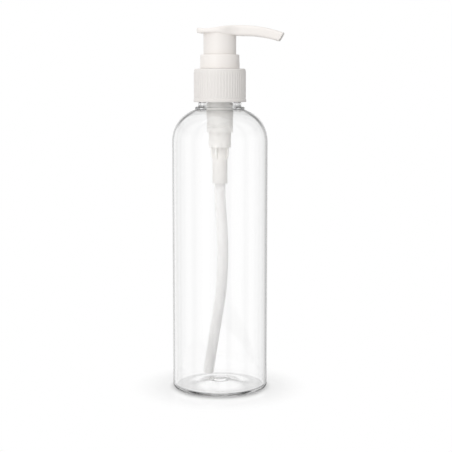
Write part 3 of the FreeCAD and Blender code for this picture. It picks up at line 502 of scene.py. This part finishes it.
def buildBottle():
    size = bottleSizes
    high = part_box("bottle")[1]
    bodyR, neckZ = high.x / mm, high.z / mm
    ledgeZ = size["shoulderZ"] + size["shoulderRise"]
    standR = bodyR - size["heel"]
    punchR = standR - size["standWidth"]
    inward = bodyR - size["ledgeRadius"]
    shoulderR = (inward ** 2 + size["shoulderRise"] ** 2) / (2 * inward)
    shoulderAt = (bodyR - shoulderR, size["shoulderZ"])
    shoulderEnd = math.degrees(math.atan2(size["shoulderRise"], size["ledgeRadius"] - shoulderAt[0]))

    def onShoulder(radius, degrees):
        swollen = radius + size["shoulderFull"] * math.sin(math.pi * min(1, degrees / shoulderEnd)) ** 2
        turn = math.radians(degrees)
        return Vector((shoulderAt[0] + swollen * math.cos(turn),
                       shoulderAt[1] + swollen * math.sin(turn)))

    def domeZ(r):
        return size["pushUp"] * (0.5 + 0.5 * math.cos(math.pi * r / punchR))

    def mouldMarks(r):
        depth = 0
        for radius, half, most in size["baseMarks"]:
            away = (r - radius) / half
            depth += most * max(0, 1 - away * away) ** 2
        return depth

    baseRun = straightRun((0, 0), (punchR, 0), size["domeSteps"])
    outside = [Vector((p.x, max(0, domeZ(p.x) - mouldMarks(p.x)))) for p in baseRun]
    outside += straightRun((punchR, 0), (standR, 0), size["standSteps"])[1:]
    outside += arcRun((standR, size["heel"]), size["heel"], -90, 0, size["heelSteps"])[1:]
    outside += straightRun((bodyR, size["heel"]), (bodyR, size["shoulderZ"]), size["wallSteps"])[1:]
    for turn in spread(0, shoulderEnd, size["shoulderSteps"]):
        outside.append(onShoulder(shoulderR, turn))
    threadLow = neckZ - neckThread["topGap"] - neckThread["pitch"] * neckThread["turns"]
    shankZ = ledgeZ + size["ledgeThick"] + size["shankHeight"]
    rootStart = shankZ + size["shankRadius"] - size["rootRadius"]
    neckCorners = [
        (size["ledgeRadius"], ledgeZ),
        (size["ledgeRadius"], ledgeZ + size["ledgeThick"], size["ledgeEdge"]),
        (size["shankRadius"], ledgeZ + size["ledgeThick"], size["ledgeFoot"]),
        (size["shankRadius"], shankZ, 0.3),
        (size["rootRadius"], rootStart, 0.3),
        (size["rootRadius"], neckZ, 0.5),
        (size["boreRadius"], neckZ, 0.3),
    ]
    # the first and the last point only steer the roundings next to them
    ends = [tuple(outside[-1] + Vector((0.6, -0.8))), *neckCorners, (size["boreRadius"], ledgeZ)]
    neck = softCorners(ends, 4)[1:-1]
    # close rows between the roundings carry the thread
    neckRows = straightRun((size["rootRadius"], rootStart + 0.3), (size["rootRadius"], neckZ - 0.6),
                           size["threadRows"])
    below = [p for p in neck if p.y < rootStart + 0.25 and p.x > size["rootRadius"] - 1e-3]
    above = [p for p in neck if p.y > neckZ - 0.55]
    outside = outside[:-1] + below + neckRows + above
    innerNeckR = shoulderR - size["neckWallIn"]
    innerEnd = math.degrees(math.acos((size["boreRadius"] - shoulderAt[0]) / innerNeckR))
    inside = [Vector((size["boreRadius"], neckZ - size["boreRun"]))]
    for share in reversed([0, *spread(0, 1, size["shoulderSteps"])]):
        thick = size["wall"] + (size["neckWallIn"] - size["wall"]) * share ** 3
        inside.append(onShoulder(shoulderR - thick, innerEnd * share))
    insideR = bodyR - size["wall"]
    cornerR = insideR - size["innerHeel"]
    cornerZ = size["floor"] + size["innerHeel"]
    inside += straightRun((insideR, size["shoulderZ"]), (insideR, cornerZ), size["wallSteps"])[1:]
    inside += arcRun((cornerR, cornerZ), size["innerHeel"], 0, -90, size["innerHeelSteps"])[1:]
    inside += straightRun((cornerR, size["floor"]), (punchR, size["floor"]), size["standSteps"])[1:]
    inside += [Vector((p.x, size["floor"] + domeZ(p.x))) for p in reversed(baseRun[:-1])]

    def withThread(angle, r, z):
        if abs(r - size["rootRadius"]) > 1e-3:
            return r
        return r + threadRise(angle, z, neckThread, threadLow)

    verts, faces = skin(turnedRings(outside + inside, size["around"], withThread))
    piece = meshPiece("clear_bottle", verts, faces, size["sharpAngle"])
    return place(piece, "bottle", "bottle", clearBottle)


buildBottle()
print("bottle built")


# Closure

closureSizes = {
    "ribs": 54,
    "ribColumns": 8,
    "ribHeight": 0.25,
    "ribSoftness": 0.65,       # share of the height that the ribs show after moulding
    "ribFlat": 1.3,            # more than 1 flattens the crests
    "ribFadeLow": 0.4,
    "ribFadeHigh": 0.6,
    "hemUp": 0.9,              # the hem ends this far above the solid's
    "band": 1.3,
    "bandStep": 0.1,
    "topEdge": 0.9,
    "bore": 12.15,
    "hole": 9.7,
    "topThick": 1.25,
    "threadRows": 48,
    "ribRows": 14,
    "sharpAngle": 50,
}


def buildClosure():
    size = closureSizes
    low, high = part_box("closure")
    bandR, lowZ, topZ = high.x / mm, low.z / mm + size["hemUp"], high.z / mm
    ribR = bandR - size["bandStep"]
    footR = ribR - size["ribHeight"]
    bandZ = lowZ + size["band"]
    underZ = topZ - size["topThick"]
    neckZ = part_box("bottle")[1].z / mm
    threadLow = neckZ - neckThread["topGap"] - neckThread["pitch"] * (neckThread["turns"] + 0.5)
    corners = softCorners([
        (size["hole"], underZ, 0.2),
        (size["bore"], underZ, 0.3),
        (size["bore"], lowZ, 0.3),
        (bandR, lowZ, 0.3),
        (bandR, bandZ, 0.12),
        (footR, bandZ + size["ribHeight"], 0.1),
        (footR, topZ, size["topEdge"]),
        (size["hole"], topZ, 0.25),
    ], 5)
    inner = [p for p in corners if abs(p.x - size["bore"]) < 1e-3]
    outer = [p for p in corners if abs(p.x - footR) < 1e-3]
    points = []
    for p in corners:
        points.append(p)
        if p == inner[0]:
            points += straightRun(inner[0], inner[-1], size["threadRows"])[1:-1]
        if p == outer[0]:
            points += straightRun(outer[0], outer[-1], size["ribRows"])[1:-1]
    ribLow, ribHigh = outer[0].y, outer[-1].y

    def withRibs(angle, r, z):
        if abs(r - size["bore"]) < 1e-3:
            return r - threadRise(angle, z, neckThread, threadLow)
        if abs(r - footR) < 1e-3:
            wave = min(1, size["ribFlat"] * (0.5 + 0.5 * math.cos(size["ribs"] * angle)))
            fade = min(1, (z - ribLow) / size["ribFadeLow"], (ribHigh - z) / size["ribFadeHigh"])
            return r + size["ribHeight"] * size["ribSoftness"] * max(0, fade) * wave
        return r

    rings = turnedRings(points, size["ribs"] * size["ribColumns"], withRibs)
    piece = meshPiece("ribbed_closure", *skin(rings, loop=True), size["sharpAngle"])
    return place(piece, "closure", "closure", whiteClosure)


buildClosure()
print("closure built")


# Lock ring

ringSizes = {
    "around": 160,
    "footRadius": 10.45,
    "topRadius": 10.25,
    "bore": 8.9,
    "plugRadius": 9.5,
    "sleeveRadius": 5.87,
    "guide": 3.38,
    "towerRadius": 4.98,
    "towerHeight": 2.0,
    "floor": 0.9,
    "sleeveDepth": 4.0,
    "height": 7.2,
    "topEdge": 0.4,
}


def buildLockRing():
    size = ringSizes
    low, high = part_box("lock_ring")
    topZ, sleeveZ = high.z / mm, low.z / mm
    flangeZ = sleeveZ + size["sleeveDepth"]
    footZ = topZ - size["height"]
    floorZ = flangeZ + size["floor"]
    points = softCorners([
        (size["guide"], sleeveZ, 0.15),
        (size["sleeveRadius"], sleeveZ, 0.3),
        (size["sleeveRadius"], flangeZ, 0.1),
        (size["plugRadius"], flangeZ, 0.1),
        (size["plugRadius"], footZ, 0.1),
        (size["footRadius"], footZ, 0.12),
        (size["topRadius"], topZ, size["topEdge"]),
        (size["bore"], topZ, 0.2),
        (size["bore"], floorZ, 0.3),
        (size["towerRadius"], floorZ, 0.3),
        (size["towerRadius"], floorZ + size["towerHeight"], 0.25),
        (size["guide"], floorZ + size["towerHeight"], 0.2),
    ], 5)
    verts, faces = skin(turnedRings(points, size["around"]), loop=True)
    piece = meshPiece("lock_ring_shell", verts, faces)
    return place(piece, "pump_body", "lock_ring", whitePump)


buildLockRing()
print("lock ring built")


# Actuator: thumb pad and spout as one skin over cross-sections, on a hollow skirt

headSizes = {
    "plateZ": 189.4,           # underside of the thumb pad
    "lipReach": 11.4,
    "lipThick": 2.8,
    "lipCorner": 4.0,
    "padOffset": 4.8,
    "padHalf": 9.3,
    "waistOuter": 9.0,
    "waistInner": 14.0,
    "armHalf": 4.7,
    "tipHalf": 3.6,
    "crestX": 11.2,
    "crestRise": 4.05,
    "bellyX": 12.5,
    "bellyDrop": 1.5,
    "tipX": 32.7,
    "tipDrop": 2.3,
    "tipDepth": 5.2,
    "tipTilt": 31.0,           # degrees from upright
    "dipSoftness": 1.4,
    "edge": 0.9,
    "armEdge": 1.6,
    "lowEdge": 0.8,            # rounding of the lower edges, as a share of the upper
    "edgeFrom": 2.0,           # x where the edges start to get rounder
    "edgeTo": 16.0,
    "crown": 0.12,             # fall of the top towards its sides, as a share of the edge
    "lipRound": 0.7,
    "mouthRound": 0.5,
    "ductRadius": 1.4,
    "ductStart": 0.3,
    "ductBeyond": 0.06,        # radians that the cut runs past the mouth
    "ductSides": 28,
    "ductSteps": 32,
    "riserStart": 0.2,         # above the skirt's roof
    "riserRadius": 1.7,
    "riserSides": 48,
    "skirtRadius": 8.6,
    "skirtWall": 1.1,
    "skirtSink": 0.65,         # how far the skirt runs up into the pad
    "roof": 2.4,
    "socketRadius": 4.68,
    "socketBore": 3.38,
    "socketRoof": 1.0,
    "socketLow": 179.4,
    "around": 160,
    "ringPoints": 64,
    "lipSteps": 6,
    "cornerSteps": 12,
    "padSteps": 30,
    "armSteps": 30,
    "mouthSteps": 4,
    "sharpAngle": 38,
}


def softMax(a, b, softness):
    share = max(0, softness - abs(a - b)) / softness
    return max(a, b) + share * share * softness / 4


def headProfile():
    # the side curves of the head, as functions of x above the pad's underside
    size = headSizes
    tilt = math.radians(size["tipTilt"])
    half = size["tipDepth"] / 2
    tipHigh = Vector((size["tipX"] + half * math.sin(tilt), half * math.cos(tilt) - size["tipDrop"]))
    tipLow = Vector((size["tipX"] - half * math.sin(tilt), -half * math.cos(tilt) - size["tipDrop"]))
    crestFall = size["crestRise"] - tipHigh.y
    crestR = ((tipHigh.x - size["crestX"]) ** 2 + crestFall ** 2) / (2 * crestFall)
    bellyFall = -size["bellyDrop"] - tipLow.y
    bellyR = ((tipLow.x - size["bellyX"]) ** 2 + bellyFall ** 2) / (2 * bellyFall)

    def crest(x):
        return size["crestRise"] - crestR + math.sqrt(crestR ** 2 - (x - size["crestX"]) ** 2)

    valley = crest(-size["padOffset"])
    slope = (size["lipThick"] - valley) / (size["lipReach"] - size["padOffset"])

    def top(x):
        lip = valley - slope * (x + size["padOffset"])
        return softMax(crest(x), lip, size["dipSoftness"]) if x < size["crestX"] else crest(x)

    def bottom(x):
        if x > size["bellyX"]:
            return -size["bellyDrop"] - bellyR + math.sqrt(bellyR ** 2 - (x - size["bellyX"]) ** 2)
        ramp = min(1, max(0, x / size["bellyX"]))
        return -size["bellyDrop"] * (ramp + ramp ** 2 - ramp ** 3)

    def halfWidth(x):
        pad, arm, corner = size["padHalf"], size["armHalf"], size["lipCorner"]
        outer, inner = size["waistOuter"], size["waistInner"]
        turn = math.acos(1 - (pad - arm) / (outer + inner))
        armX = (outer + inner) * math.sin(turn)
        inset = corner - (x + size["lipReach"])
        if inset > 0:
            return pad - corner + math.sqrt(max(0, corner ** 2 - inset ** 2))
        if x <= 0:
            return pad
        if x <= outer * math.sin(turn):
            return pad - outer + math.sqrt(outer ** 2 - x * x)
        if x <= armX:
            return arm + inner - math.sqrt(inner ** 2 - (armX - x) ** 2)
        return arm + (size["tipHalf"] - arm) * (x - armX) / (tipHigh.x - armX)

    return top, bottom, halfWidth, tipHigh, tipLow


def headSection(high, low, half, edge, count):
    # a rounded box between two points of the side view, half as wide as told
    height = (high - low).length
    edge = min(edge, height * 0.46, half * 0.9)  # no more than the section can take
    crown = edge * headSizes["crown"]
    lowEdge = edge * headSizes["lowEdge"]
    corners = [(-half, 0, lowEdge), (half, 0, lowEdge), (half, height, edge), (-half, height, edge)]
    loop = softCorners(corners, 7)
    lengths = [0]
    for index, point in enumerate(loop):
        lengths.append(lengths[-1] + (loop[(index + 1) % len(loop)] - point).length)
    ring = []
    for step in range(count):
        want = lengths[-1] * step / count
        index = max(i for i in range(len(loop)) if lengths[i] <= want + 1e-9)
        share = (want - lengths[index]) / max(1e-9, lengths[index + 1] - lengths[index])
        flat = loop[index].lerp(loop[(index + 1) % len(loop)], share)
        fall = crown * (flat.y / height) * (flat.x / half) ** 2
        side = low.lerp(high, (flat.y - fall) / height)
        ring.append(Vector((side.x, flat.x, side.y)))
    return ring


def buildHeadSkin():
    size = headSizes
    top, bottom, halfWidth, tipHigh, tipLow = headProfile()
    back, lipRound = -size["lipReach"], size["lipRound"]
    cornerEnd = back + size["lipCorner"]
    stations = []  # x on the top line, x on the lower line, inset all round
    for step in range(size["lipSteps"] + 1):
        turn = math.pi / 2 * step / size["lipSteps"]
        x = back + lipRound * (1 - math.cos(turn))
        stations.append((x, x, lipRound * (1 - math.sin(turn))))
    cornerRun = spread(back + lipRound, cornerEnd, size["cornerSteps"])
    padRun = spread(cornerEnd, size["bellyX"], size["padSteps"])
    for x in cornerRun + padRun:
        stations.append((x, x, 0))
    overhang = tipHigh.x - tipLow.x
    for share in spread(0, 1, size["armSteps"]):
        lowX = size["bellyX"] + (tipLow.x - size["bellyX"]) * share
        stations.append((lowX + overhang * share, lowX, 0))
    rings = []
    for highX, lowX, inset in stations:
        high = Vector((highX, size["plateZ"] + top(highX) - inset))
        low = Vector((lowX, size["plateZ"] + bottom(lowX) + inset))
        middle = (highX + lowX) / 2
        along = min(1, max(0, (middle - size["edgeFrom"]) / (size["edgeTo"] - size["edgeFrom"])))
        edge = size["edge"] + (size["armEdge"] - size["edge"]) * along * along * (3 - 2 * along)
        rings.append(headSection(high, low, halfWidth(middle) - inset, edge, size["ringPoints"]))
    # a small rounding round the mouth
    mouth = rings.pop()
    centre = sum(mouth, Vector()) / len(mouth)
    tilt = math.radians(size["tipTilt"])
    outward = Vector((math.cos(tilt), 0, -math.sin(tilt)))
    for step in range(size["mouthSteps"] + 1):
        turn = math.pi / 2 * step / size["mouthSteps"]
        inset = size["mouthRound"] * (1 - math.cos(turn))
        sink = size["mouthRound"] * (1 - math.sin(turn))
        rings.append([point - (point - centre).normalized() * inset - outward * sink for point in mouth])
    return skin(rings, caps=True)


def buildDuctSkin():
    # the channel from the stem's top to the mouth
    size = headSizes
    start = Vector((0, size["plateZ"] + size["ductStart"]))
    crest = Vector((size["crestX"], size["plateZ"] + (size["crestRise"] - size["bellyDrop"]) / 2))
    mouth = Vector((size["tipX"], size["plateZ"] - size["tipDrop"]))
    along, across = crest - start, mouth - start
    turn = 2 * along.cross(across)
    centre = start + Vector(((across.y * along.dot(along) - along.y * across.dot(across)) / turn,
                             (along.x * across.dot(across) - across.x * along.dot(along)) / turn))
    reach = (mouth - centre).length
    first = math.atan2(start.y - centre.y, start.x - centre.x)
    last = math.atan2(mouth.y - centre.y, mouth.x - centre.x)
    rings = []
    for share in [0, *spread(0, 1, size["ductSteps"])]:
        angle = first + (last - size["ductBeyond"] - first) * share
        out = Vector((math.cos(angle), math.sin(angle)))
        middle = centre + out * reach
        ring = []
        for point in range(size["ductSides"]):
            turnAngle = 2 * math.pi * point / size["ductSides"]
            spot = middle + out * (size["ductRadius"] * math.cos(turnAngle))
            ring.append(Vector((spot.x, size["ductRadius"] * math.sin(turnAngle), spot.y)))
        rings.append(ring)
    return skin(rings, caps=True)


def buildActuator():
    size = headSizes
    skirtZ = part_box("actuator")[0].z / mm
    plateZ = size["plateZ"]
    roofZ = plateZ - size["roof"]
    head = meshPiece("pump_head", *buildHeadSkin())
    skirtBore = size["skirtRadius"] - size["skirtWall"]
    profile = softCorners([
        (0, roofZ + size["socketRoof"]),
        (size["socketBore"], roofZ + size["socketRoof"]),
        (size["socketBore"], size["socketLow"], 0.2),
        (size["socketRadius"], size["socketLow"], 0.2),
        (size["socketRadius"], roofZ, 0.3),
        (skirtBore, roofZ, 0.4),
        (skirtBore, skirtZ, 0.2),
        (size["skirtRadius"], skirtZ, 0.3),
        (size["skirtRadius"], plateZ + size["skirtSink"]),
        (0, plateZ + size["skirtSink"]),
    ], 5)
    skirt = meshPiece("skirtTool", *skin(turnedRings(profile, size["around"])))
    combine(head, skirt, "UNION")
    riserR = size["riserRadius"]
    riserLow, riserHigh = roofZ + size["riserStart"], plateZ + size["ductStart"]
    riser = [(0, riserLow), (riserR, riserLow), (riserR, riserHigh), (0, riserHigh)]
    combine(head, meshPiece("riserTool", *skin(turnedRings(riser, size["riserSides"]))), "DIFFERENCE")
    combine(head, meshPiece("ductTool", *buildDuctSkin()), "DIFFERENCE")
    head.data.shade_smooth()
    head.data.set_sharp_from_angle(angle=math.radians(size["sharpAngle"]))
    return place(head, "head", "actuator", whitePump)


buildActuator()
print("actuator built")


# Spring, at its rest length (the real one shortens as the head goes down)

springSizes = {"wire": 0.8, "turns": 8, "coilRadius": 5.0, "stepsPerTurn": 40, "sides": 12}


def buildSpring():
    size = springSizes
    low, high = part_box("spring")
    wireR = size["wire"] / 2
    lowZ, highZ = low.z / mm + wireR, high.z / mm - wireR
    total = size["turns"] * size["stepsPerTurn"]
    rings = []
    for step in range(total + 1):
        angle = 2 * math.pi * step / size["stepsPerTurn"]
        out = Vector((math.cos(angle), math.sin(angle), 0))
        middle = out * size["coilRadius"] + Vector((0, 0, lowZ + (highZ - lowZ) * step / total))
        ring = []
        for side in range(size["sides"]):
            turn = 2 * math.pi * side / size["sides"]
            ring.append(middle + out * (wireR * math.cos(turn)) + Vector((0, 0, wireR * math.sin(turn))))
        rings.append(ring)
    piece = meshPiece("coil_spring", *skin(rings, caps=True))
    place(piece, "pump_body", "spring", springWire)
    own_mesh(piece)
    return piece


buildSpring()
print("spring built")


# Pieces that keep their solid

keptPieces = {
    "gasket": gasketFoam,
    "housing": milkyHousing,
    "dip_tube": milkyTube,
    "inlet_ball": polishedBall,
    "stem": whitePump,
    "piston": softPiston,
    "valve_pin": whitePump,
}
for node, material in keptPieces.items():
    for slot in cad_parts[node].material_slots:
        slot.material = material
print("kept solids dressed")


# Studio

studio = {
    "turn": 9.0,               # degrees that camera, lamps and panels stand round towards the spout
    "floorReach": 0.22,        # metres; a disc that fades into the white round it
    "floorDrop": 0.0003,
    "floorSides": 64,
    "floorColour": (0.95, 0.95, 0.95),
    "floorRoughness": 0.06,
    "floorIor": 2.2,
    "floorWhite": 0.65,        # share of plain white under the bottle
    "paintedShadowReach": 0.004,     # metres from the heel that the painted shadow on the white reaches
    # brightness of the painted contact shadow where the heel hides the most
    "paintedShadowLevel": 0.4,
    "paintedShadowSamples": 24,
    "whiteFrom": 0.024,        # metres from the axis where the rest fades into white too
    "whiteTo": 0.05,
    "ambient": 0.55,
    "brightFrom": (-0.34, -0.85, 0.4),  # the soft light leans this way
    "brightLean": 1.0,
    "panels": 8,               # white panels round the object, with gaps between them
    "panelStops": [            # degrees from a panel's middle, brightness
        (-22.5, 0.2), (-17.5, 0.2), (-14.5, 0.97), (-3, 1.0),
        (3, 1.0), (14.5, 0.97), (17.5, 0.2), (22.5, 0.2),
    ],
    "heightStops": [           # upward share of a mirrored ray, brightness
        (-0.45, 0.55), (-0.33, 0.62), (-0.285, 1.0),
    ],
    "gapHeights": [            # dark gap over the panels: upward share, depth
        (0.16, 0), (0.24, 1), (0.38, 1), (0.48, 0),
    ],
    "gapHeadings": [           # degrees to either side of the back panel's middle, depth
        (0, 0.75), (9, 0.75), (18, 0.45), (42, 0.2),
    ],
    "rightSide": [             # dimmer on the right: degrees from the back panel's middle, brightness
        (6, 1.0), (25, 0.75), (60, 0.75), (90, 1.0),
    ],
    "insideLight": 0.93,       # on what stands behind the clear wall
    "insideLean": 0.65,
    "insideDepth": 5.5,        # surfaces that a ray has passed before it counts as from inside
    "plainGaps": 0.22,         # share of the gaps that light straight through the wall shows
    "mirrorGaps": 0.6,         # share that a mirror shows
}
lamps = [
    {"name": "keyLamp", "at": (-0.42, -0.8, 0.22), "size": (0.4, 0.8), "power": 1.1, "mirrored": True},
    {"name": "topLamp", "at": (-0.1, -0.1, 0.95), "size": (0.5, 0.5), "power": 1.1, "mirrored": True},
    {"name": "backLamp", "at": (-0.45, 0.78, 0.3), "size": (0.5, 0.7), "power": 3.0, "mirrored": False},
]
lookAt = Vector((0, 0, 0.1))


def stoodRound(at):
    return Matrix.Rotation(math.radians(studio["turn"]), 3, "Z") @ Vector(at)


def mathIn(tree, operation, first, second=None, third=None):
    # a math node fed by sockets or plain numbers
    node = tree.nodes.new("ShaderNodeMath")
    node.operation = operation
    for socket, value in zip(node.inputs, (first, second, third)):
        if isinstance(value, bpy.types.NodeSocket):
            tree.links.new(value, socket)
        elif value is not None:
            socket.default_value = value
    return node.outputs[0]


def smoothIn(tree, value, fromMin, fromMax, toMin, toMax):
    # a soft change from one number to another
    node = tree.nodes.new("ShaderNodeMapRange")
    node.interpolation_type = "SMOOTHSTEP"
    node.inputs["From Min"].default_value = fromMin
    node.inputs["From Max"].default_value = fromMax
    node.inputs["To Min"].default_value = toMin
    node.inputs["To Max"].default_value = toMax
    tree.links.new(value, node.inputs["Value"])
    return node.outputs["Result"]


def seenRays(tree):
    # 1 for rays from the camera, mirrors and glass
    path = tree.nodes.new("ShaderNodeLightPath")
    seen = mathIn(tree, "MAXIMUM", path.outputs["Is Camera Ray"], path.outputs["Is Glossy Ray"])
    return path, mathIn(tree, "MAXIMUM", seen, path.outputs["Is Transmission Ray"])


def buildFloor():
    reach, drop = studio["floorReach"] / mm, -studio["floorDrop"] / mm
    rim = turnedRings([(reach, drop)], studio["floorSides"])[0]
    floor = meshPiece("studioFloor", rim, [list(range(len(rim)))])
    material, tree, shader = newMaterial("studioFloor")
    shader.inputs["Base Color"].default_value = (*studio["floorColour"], 1)
    shader.inputs["Roughness"].default_value = studio["floorRoughness"]
    shader.inputs["IOR"].default_value = studio["floorIor"]
    where = tree.nodes.new("ShaderNodeTexCoord")
    away = tree.nodes.new("ShaderNodeVectorMath")
    away.operation = "LENGTH"
    tree.links.new(where.outputs["Object"], away.inputs[0])
    whiteness = smoothIn(tree, away.outputs["Value"], studio["whiteFrom"], studio["whiteTo"],
                         studio["floorWhite"], 1)
    seen = seenRays(tree)[1]
    white = tree.nodes.new("ShaderNodeEmission")
    # painted contact shadow: ambient occlusion darkens the white emission's colour near the heel, while
    # the floor's own shaded share keeps its real shadow
    paintedShadow = tree.nodes.new("ShaderNodeAmbientOcclusion")
    paintedShadow.samples = studio["paintedShadowSamples"]
    paintedShadow.inputs["Distance"].default_value = studio["paintedShadowReach"]
    shade = smoothIn(tree, paintedShadow.outputs["AO"], 0, 1, studio["paintedShadowLevel"], 1)
    tree.links.new(shade, white.inputs["Color"])
    mix = tree.nodes.new("ShaderNodeMixShader")
    tree.links.new(mathIn(tree, "MULTIPLY", whiteness, seen), mix.inputs["Fac"])
    tree.links.new(shader.outputs["BSDF"], mix.inputs[1])
    tree.links.new(white.outputs["Emission"], mix.inputs[2])
    output = next(node for node in tree.nodes if node.type == "OUTPUT_MATERIAL")
    tree.links.new(mix.outputs["Shader"], output.inputs["Surface"])
    floor.data.materials.append(material)
    floor.visible_transmission = False  # glass and mirrors show the panels below the horizon too
    floor.visible_glossy = False


def rampIn(tree, value, stops):
    # brightness that runs through (place from 0 to 1, brightness) stops
    node = tree.nodes.new("ShaderNodeValToRGB")
    tree.links.new(value, node.inputs["Fac"])
    elements = node.color_ramp.elements
    elements[0].color = (*[stops[0][1]] * 3, 1)
    elements[-1].color = (*[stops[-1][1]] * 3, 1)
    for at, bright in stops:
        if 0 < at < 1:
            elements.new(at).color = (bright, bright, bright, 1)
    return node.outputs["Color"]


def panelLight(tree):
    # brightness of the ring of panels by direction: for light mirrored inside the wall, for light
    # straight through it, for mirrors, and of the soft light on everything else
    where = tree.nodes.new("ShaderNodeTexCoord")
    split = tree.nodes.new("ShaderNodeSeparateXYZ")
    tree.links.new(where.outputs["Generated"], split.inputs["Vector"])
    aim = mathIn(tree, "ARCTAN2", split.outputs["X"], split.outputs["Y"])
    heading = mathIn(tree, "ADD", aim, math.radians(studio["turn"]))

    def ramp(value, stops, most):
        # stops run from -most to most
        share = mathIn(tree, "MULTIPLY_ADD", value, 0.5 / most, 0.5)
        return rampIn(tree, share, [(0.5 + 0.5 * at / most, bright) for at, bright in stops])

    def inRadians(stops):
        return [(math.radians(degrees), bright) for degrees, bright in stops]

    up = split.outputs["Z"]
    half = math.pi / studio["panels"]
    fromMiddle = mathIn(tree, "WRAP", heading, half, -half)
    panels = ramp(fromMiddle, inRadians(studio["panelStops"]), half)
    fromBack = mathIn(tree, "WRAP", heading, math.pi, -math.pi)
    side = ramp(fromBack, inRadians(studio["rightSide"]), math.pi)
    offBack = mathIn(tree, "ABSOLUTE", fromBack)
    sideGap = ramp(offBack, inRadians(studio["gapHeadings"]), math.pi)
    gap = mathIn(tree, "MULTIPLY", ramp(up, studio["gapHeights"], 1), sideGap)
    sky = mathIn(tree, "MULTIPLY", mathIn(tree, "SUBTRACT", 1, gap), side)
    sky = mathIn(tree, "MULTIPLY", ramp(up, studio["heightStops"], 1), sky)
    glassLight = mathIn(tree, "MULTIPLY", panels, sky)
    plainLight = mathIn(tree, "MULTIPLY_ADD", panels, studio["plainGaps"], 1 - studio["plainGaps"])
    softGaps = mathIn(tree, "MULTIPLY_ADD", panels, studio["mirrorGaps"], 1 - studio["mirrorGaps"])
    mirrorLight = mathIn(tree, "MULTIPLY", softGaps, sky)
    lean = tree.nodes.new("ShaderNodeVectorMath")
    lean.operation = "DOT_PRODUCT"
    tree.links.new(where.outputs["Generated"], lean.inputs[0])
    lean.inputs[1].default_value = stoodRound(studio["brightFrom"]).normalized()
    softLight = mathIn(tree, "MULTIPLY_ADD", lean.outputs["Value"], studio["brightLean"], 1)
    return glassLight, plainLight, mirrorLight, mathIn(tree, "MAXIMUM", softLight, 0)


def buildWorld():
    world = bpy.data.worlds.new("studioWorld")
    bpy.context.scene.world = world
    world.use_nodes = True
    tree = world.node_tree
    tree.nodes.clear()
    output = tree.nodes.new("ShaderNodeOutputWorld")
    path, seen = seenRays(tree)
    soft = tree.nodes.new("ShaderNodeBackground")
    soft.inputs["Strength"].default_value = studio["ambient"]
    white = tree.nodes.new("ShaderNodeBackground")
    white.inputs["Strength"].default_value = 1
    glassLight, plainLight, mirrorLight, softLight = panelLight(tree)
    tree.links.new(softLight, soft.inputs["Color"])
    scattered = mathIn(tree, "GREATER_THAN", path.outputs["Diffuse Depth"], 0.5)
    deep = mathIn(tree, "GREATER_THAN", path.outputs["Transmission Depth"], studio["insideDepth"])
    inside = mathIn(tree, "MAXIMUM", scattered, deep)  # light from what stands behind the wall
    inside = mathIn(tree, "MULTIPLY", inside, studio["insideLight"])
    lean = mathIn(tree, "MULTIPLY_ADD", softLight, studio["insideLean"], 1 - studio["insideLean"])
    inside = mathIn(tree, "MULTIPLY", inside, lean)
    plain = mathIn(tree, "LESS_THAN", path.outputs["Glossy Depth"], 0.5)  # not mirrored in the wall
    plainLight = mathIn(tree, "MULTIPLY", plainLight, plain)
    clear = mathIn(tree, "MAXIMUM", mathIn(tree, "MAXIMUM", glassLight, plainLight), inside)
    clear = mathIn(tree, "MULTIPLY", clear, path.outputs["Is Transmission Ray"])
    mirror = mathIn(tree, "MULTIPLY", mirrorLight, path.outputs["Is Glossy Ray"])
    both = mathIn(tree, "MAXIMUM", clear, mirror)
    tree.links.new(mathIn(tree, "MAXIMUM", both, path.outputs["Is Camera Ray"]), white.inputs["Color"])
    mix = tree.nodes.new("ShaderNodeMixShader")
    tree.links.new(seen, mix.inputs["Fac"])
    tree.links.new(soft.outputs["Background"], mix.inputs[1])
    tree.links.new(white.outputs["Background"], mix.inputs[2])
    tree.links.new(mix.outputs["Shader"], output.inputs["Surface"])


def buildLamps():
    for lamp in lamps:
        light = bpy.data.lights.new(lamp["name"], "AREA")
        light.shape = "RECTANGLE"
        light.size, light.size_y = lamp["size"]
        light.energy = lamp["power"]
        holder = bpy.data.objects.new(lamp["name"], light)
        holder.location = stoodRound(lamp["at"])
        holder.rotation_euler = (lookAt - holder.location).to_track_quat("-Z", "Y").to_euler()
        holder.visible_camera = False
        holder.visible_transmission = False
        holder.visible_glossy = lamp["mirrored"]
        bpy.context.scene.collection.objects.link(holder)


camera = {
    "at": (0.00325, -0.6, 0.1637),
    "downTilt": 7.235,         # degrees
    "lens": 89.94,             # mm
    "sensor": 36,
    "nearest": 0.01,           # metres
}


def buildCamera():
    data = bpy.data.cameras.new("photoCamera")
    data.lens = camera["lens"]
    data.sensor_width = camera["sensor"]
    data.clip_start = camera["nearest"]
    holder = bpy.data.objects.new("photoCamera", data)
    holder.location = stoodRound(camera["at"])
    holder.rotation_euler = (math.radians(90 - camera["downTilt"]), 0, math.radians(studio["turn"]))
    bpy.context.scene.collection.objects.link(holder)
    bpy.context.scene.camera = holder


buildFloor()
buildWorld()
buildLamps()
buildCamera()
bpy.context.scene.view_settings.view_transform = "Standard"
wallBounces = 96               # light runs a long way inside the clear wall
cycles = bpy.context.scene.cycles
cycles.max_bounces = wallBounces
cycles.glossy_bounces = wallBounces
cycles.transmission_bounces = wallBounces
print("studio built")
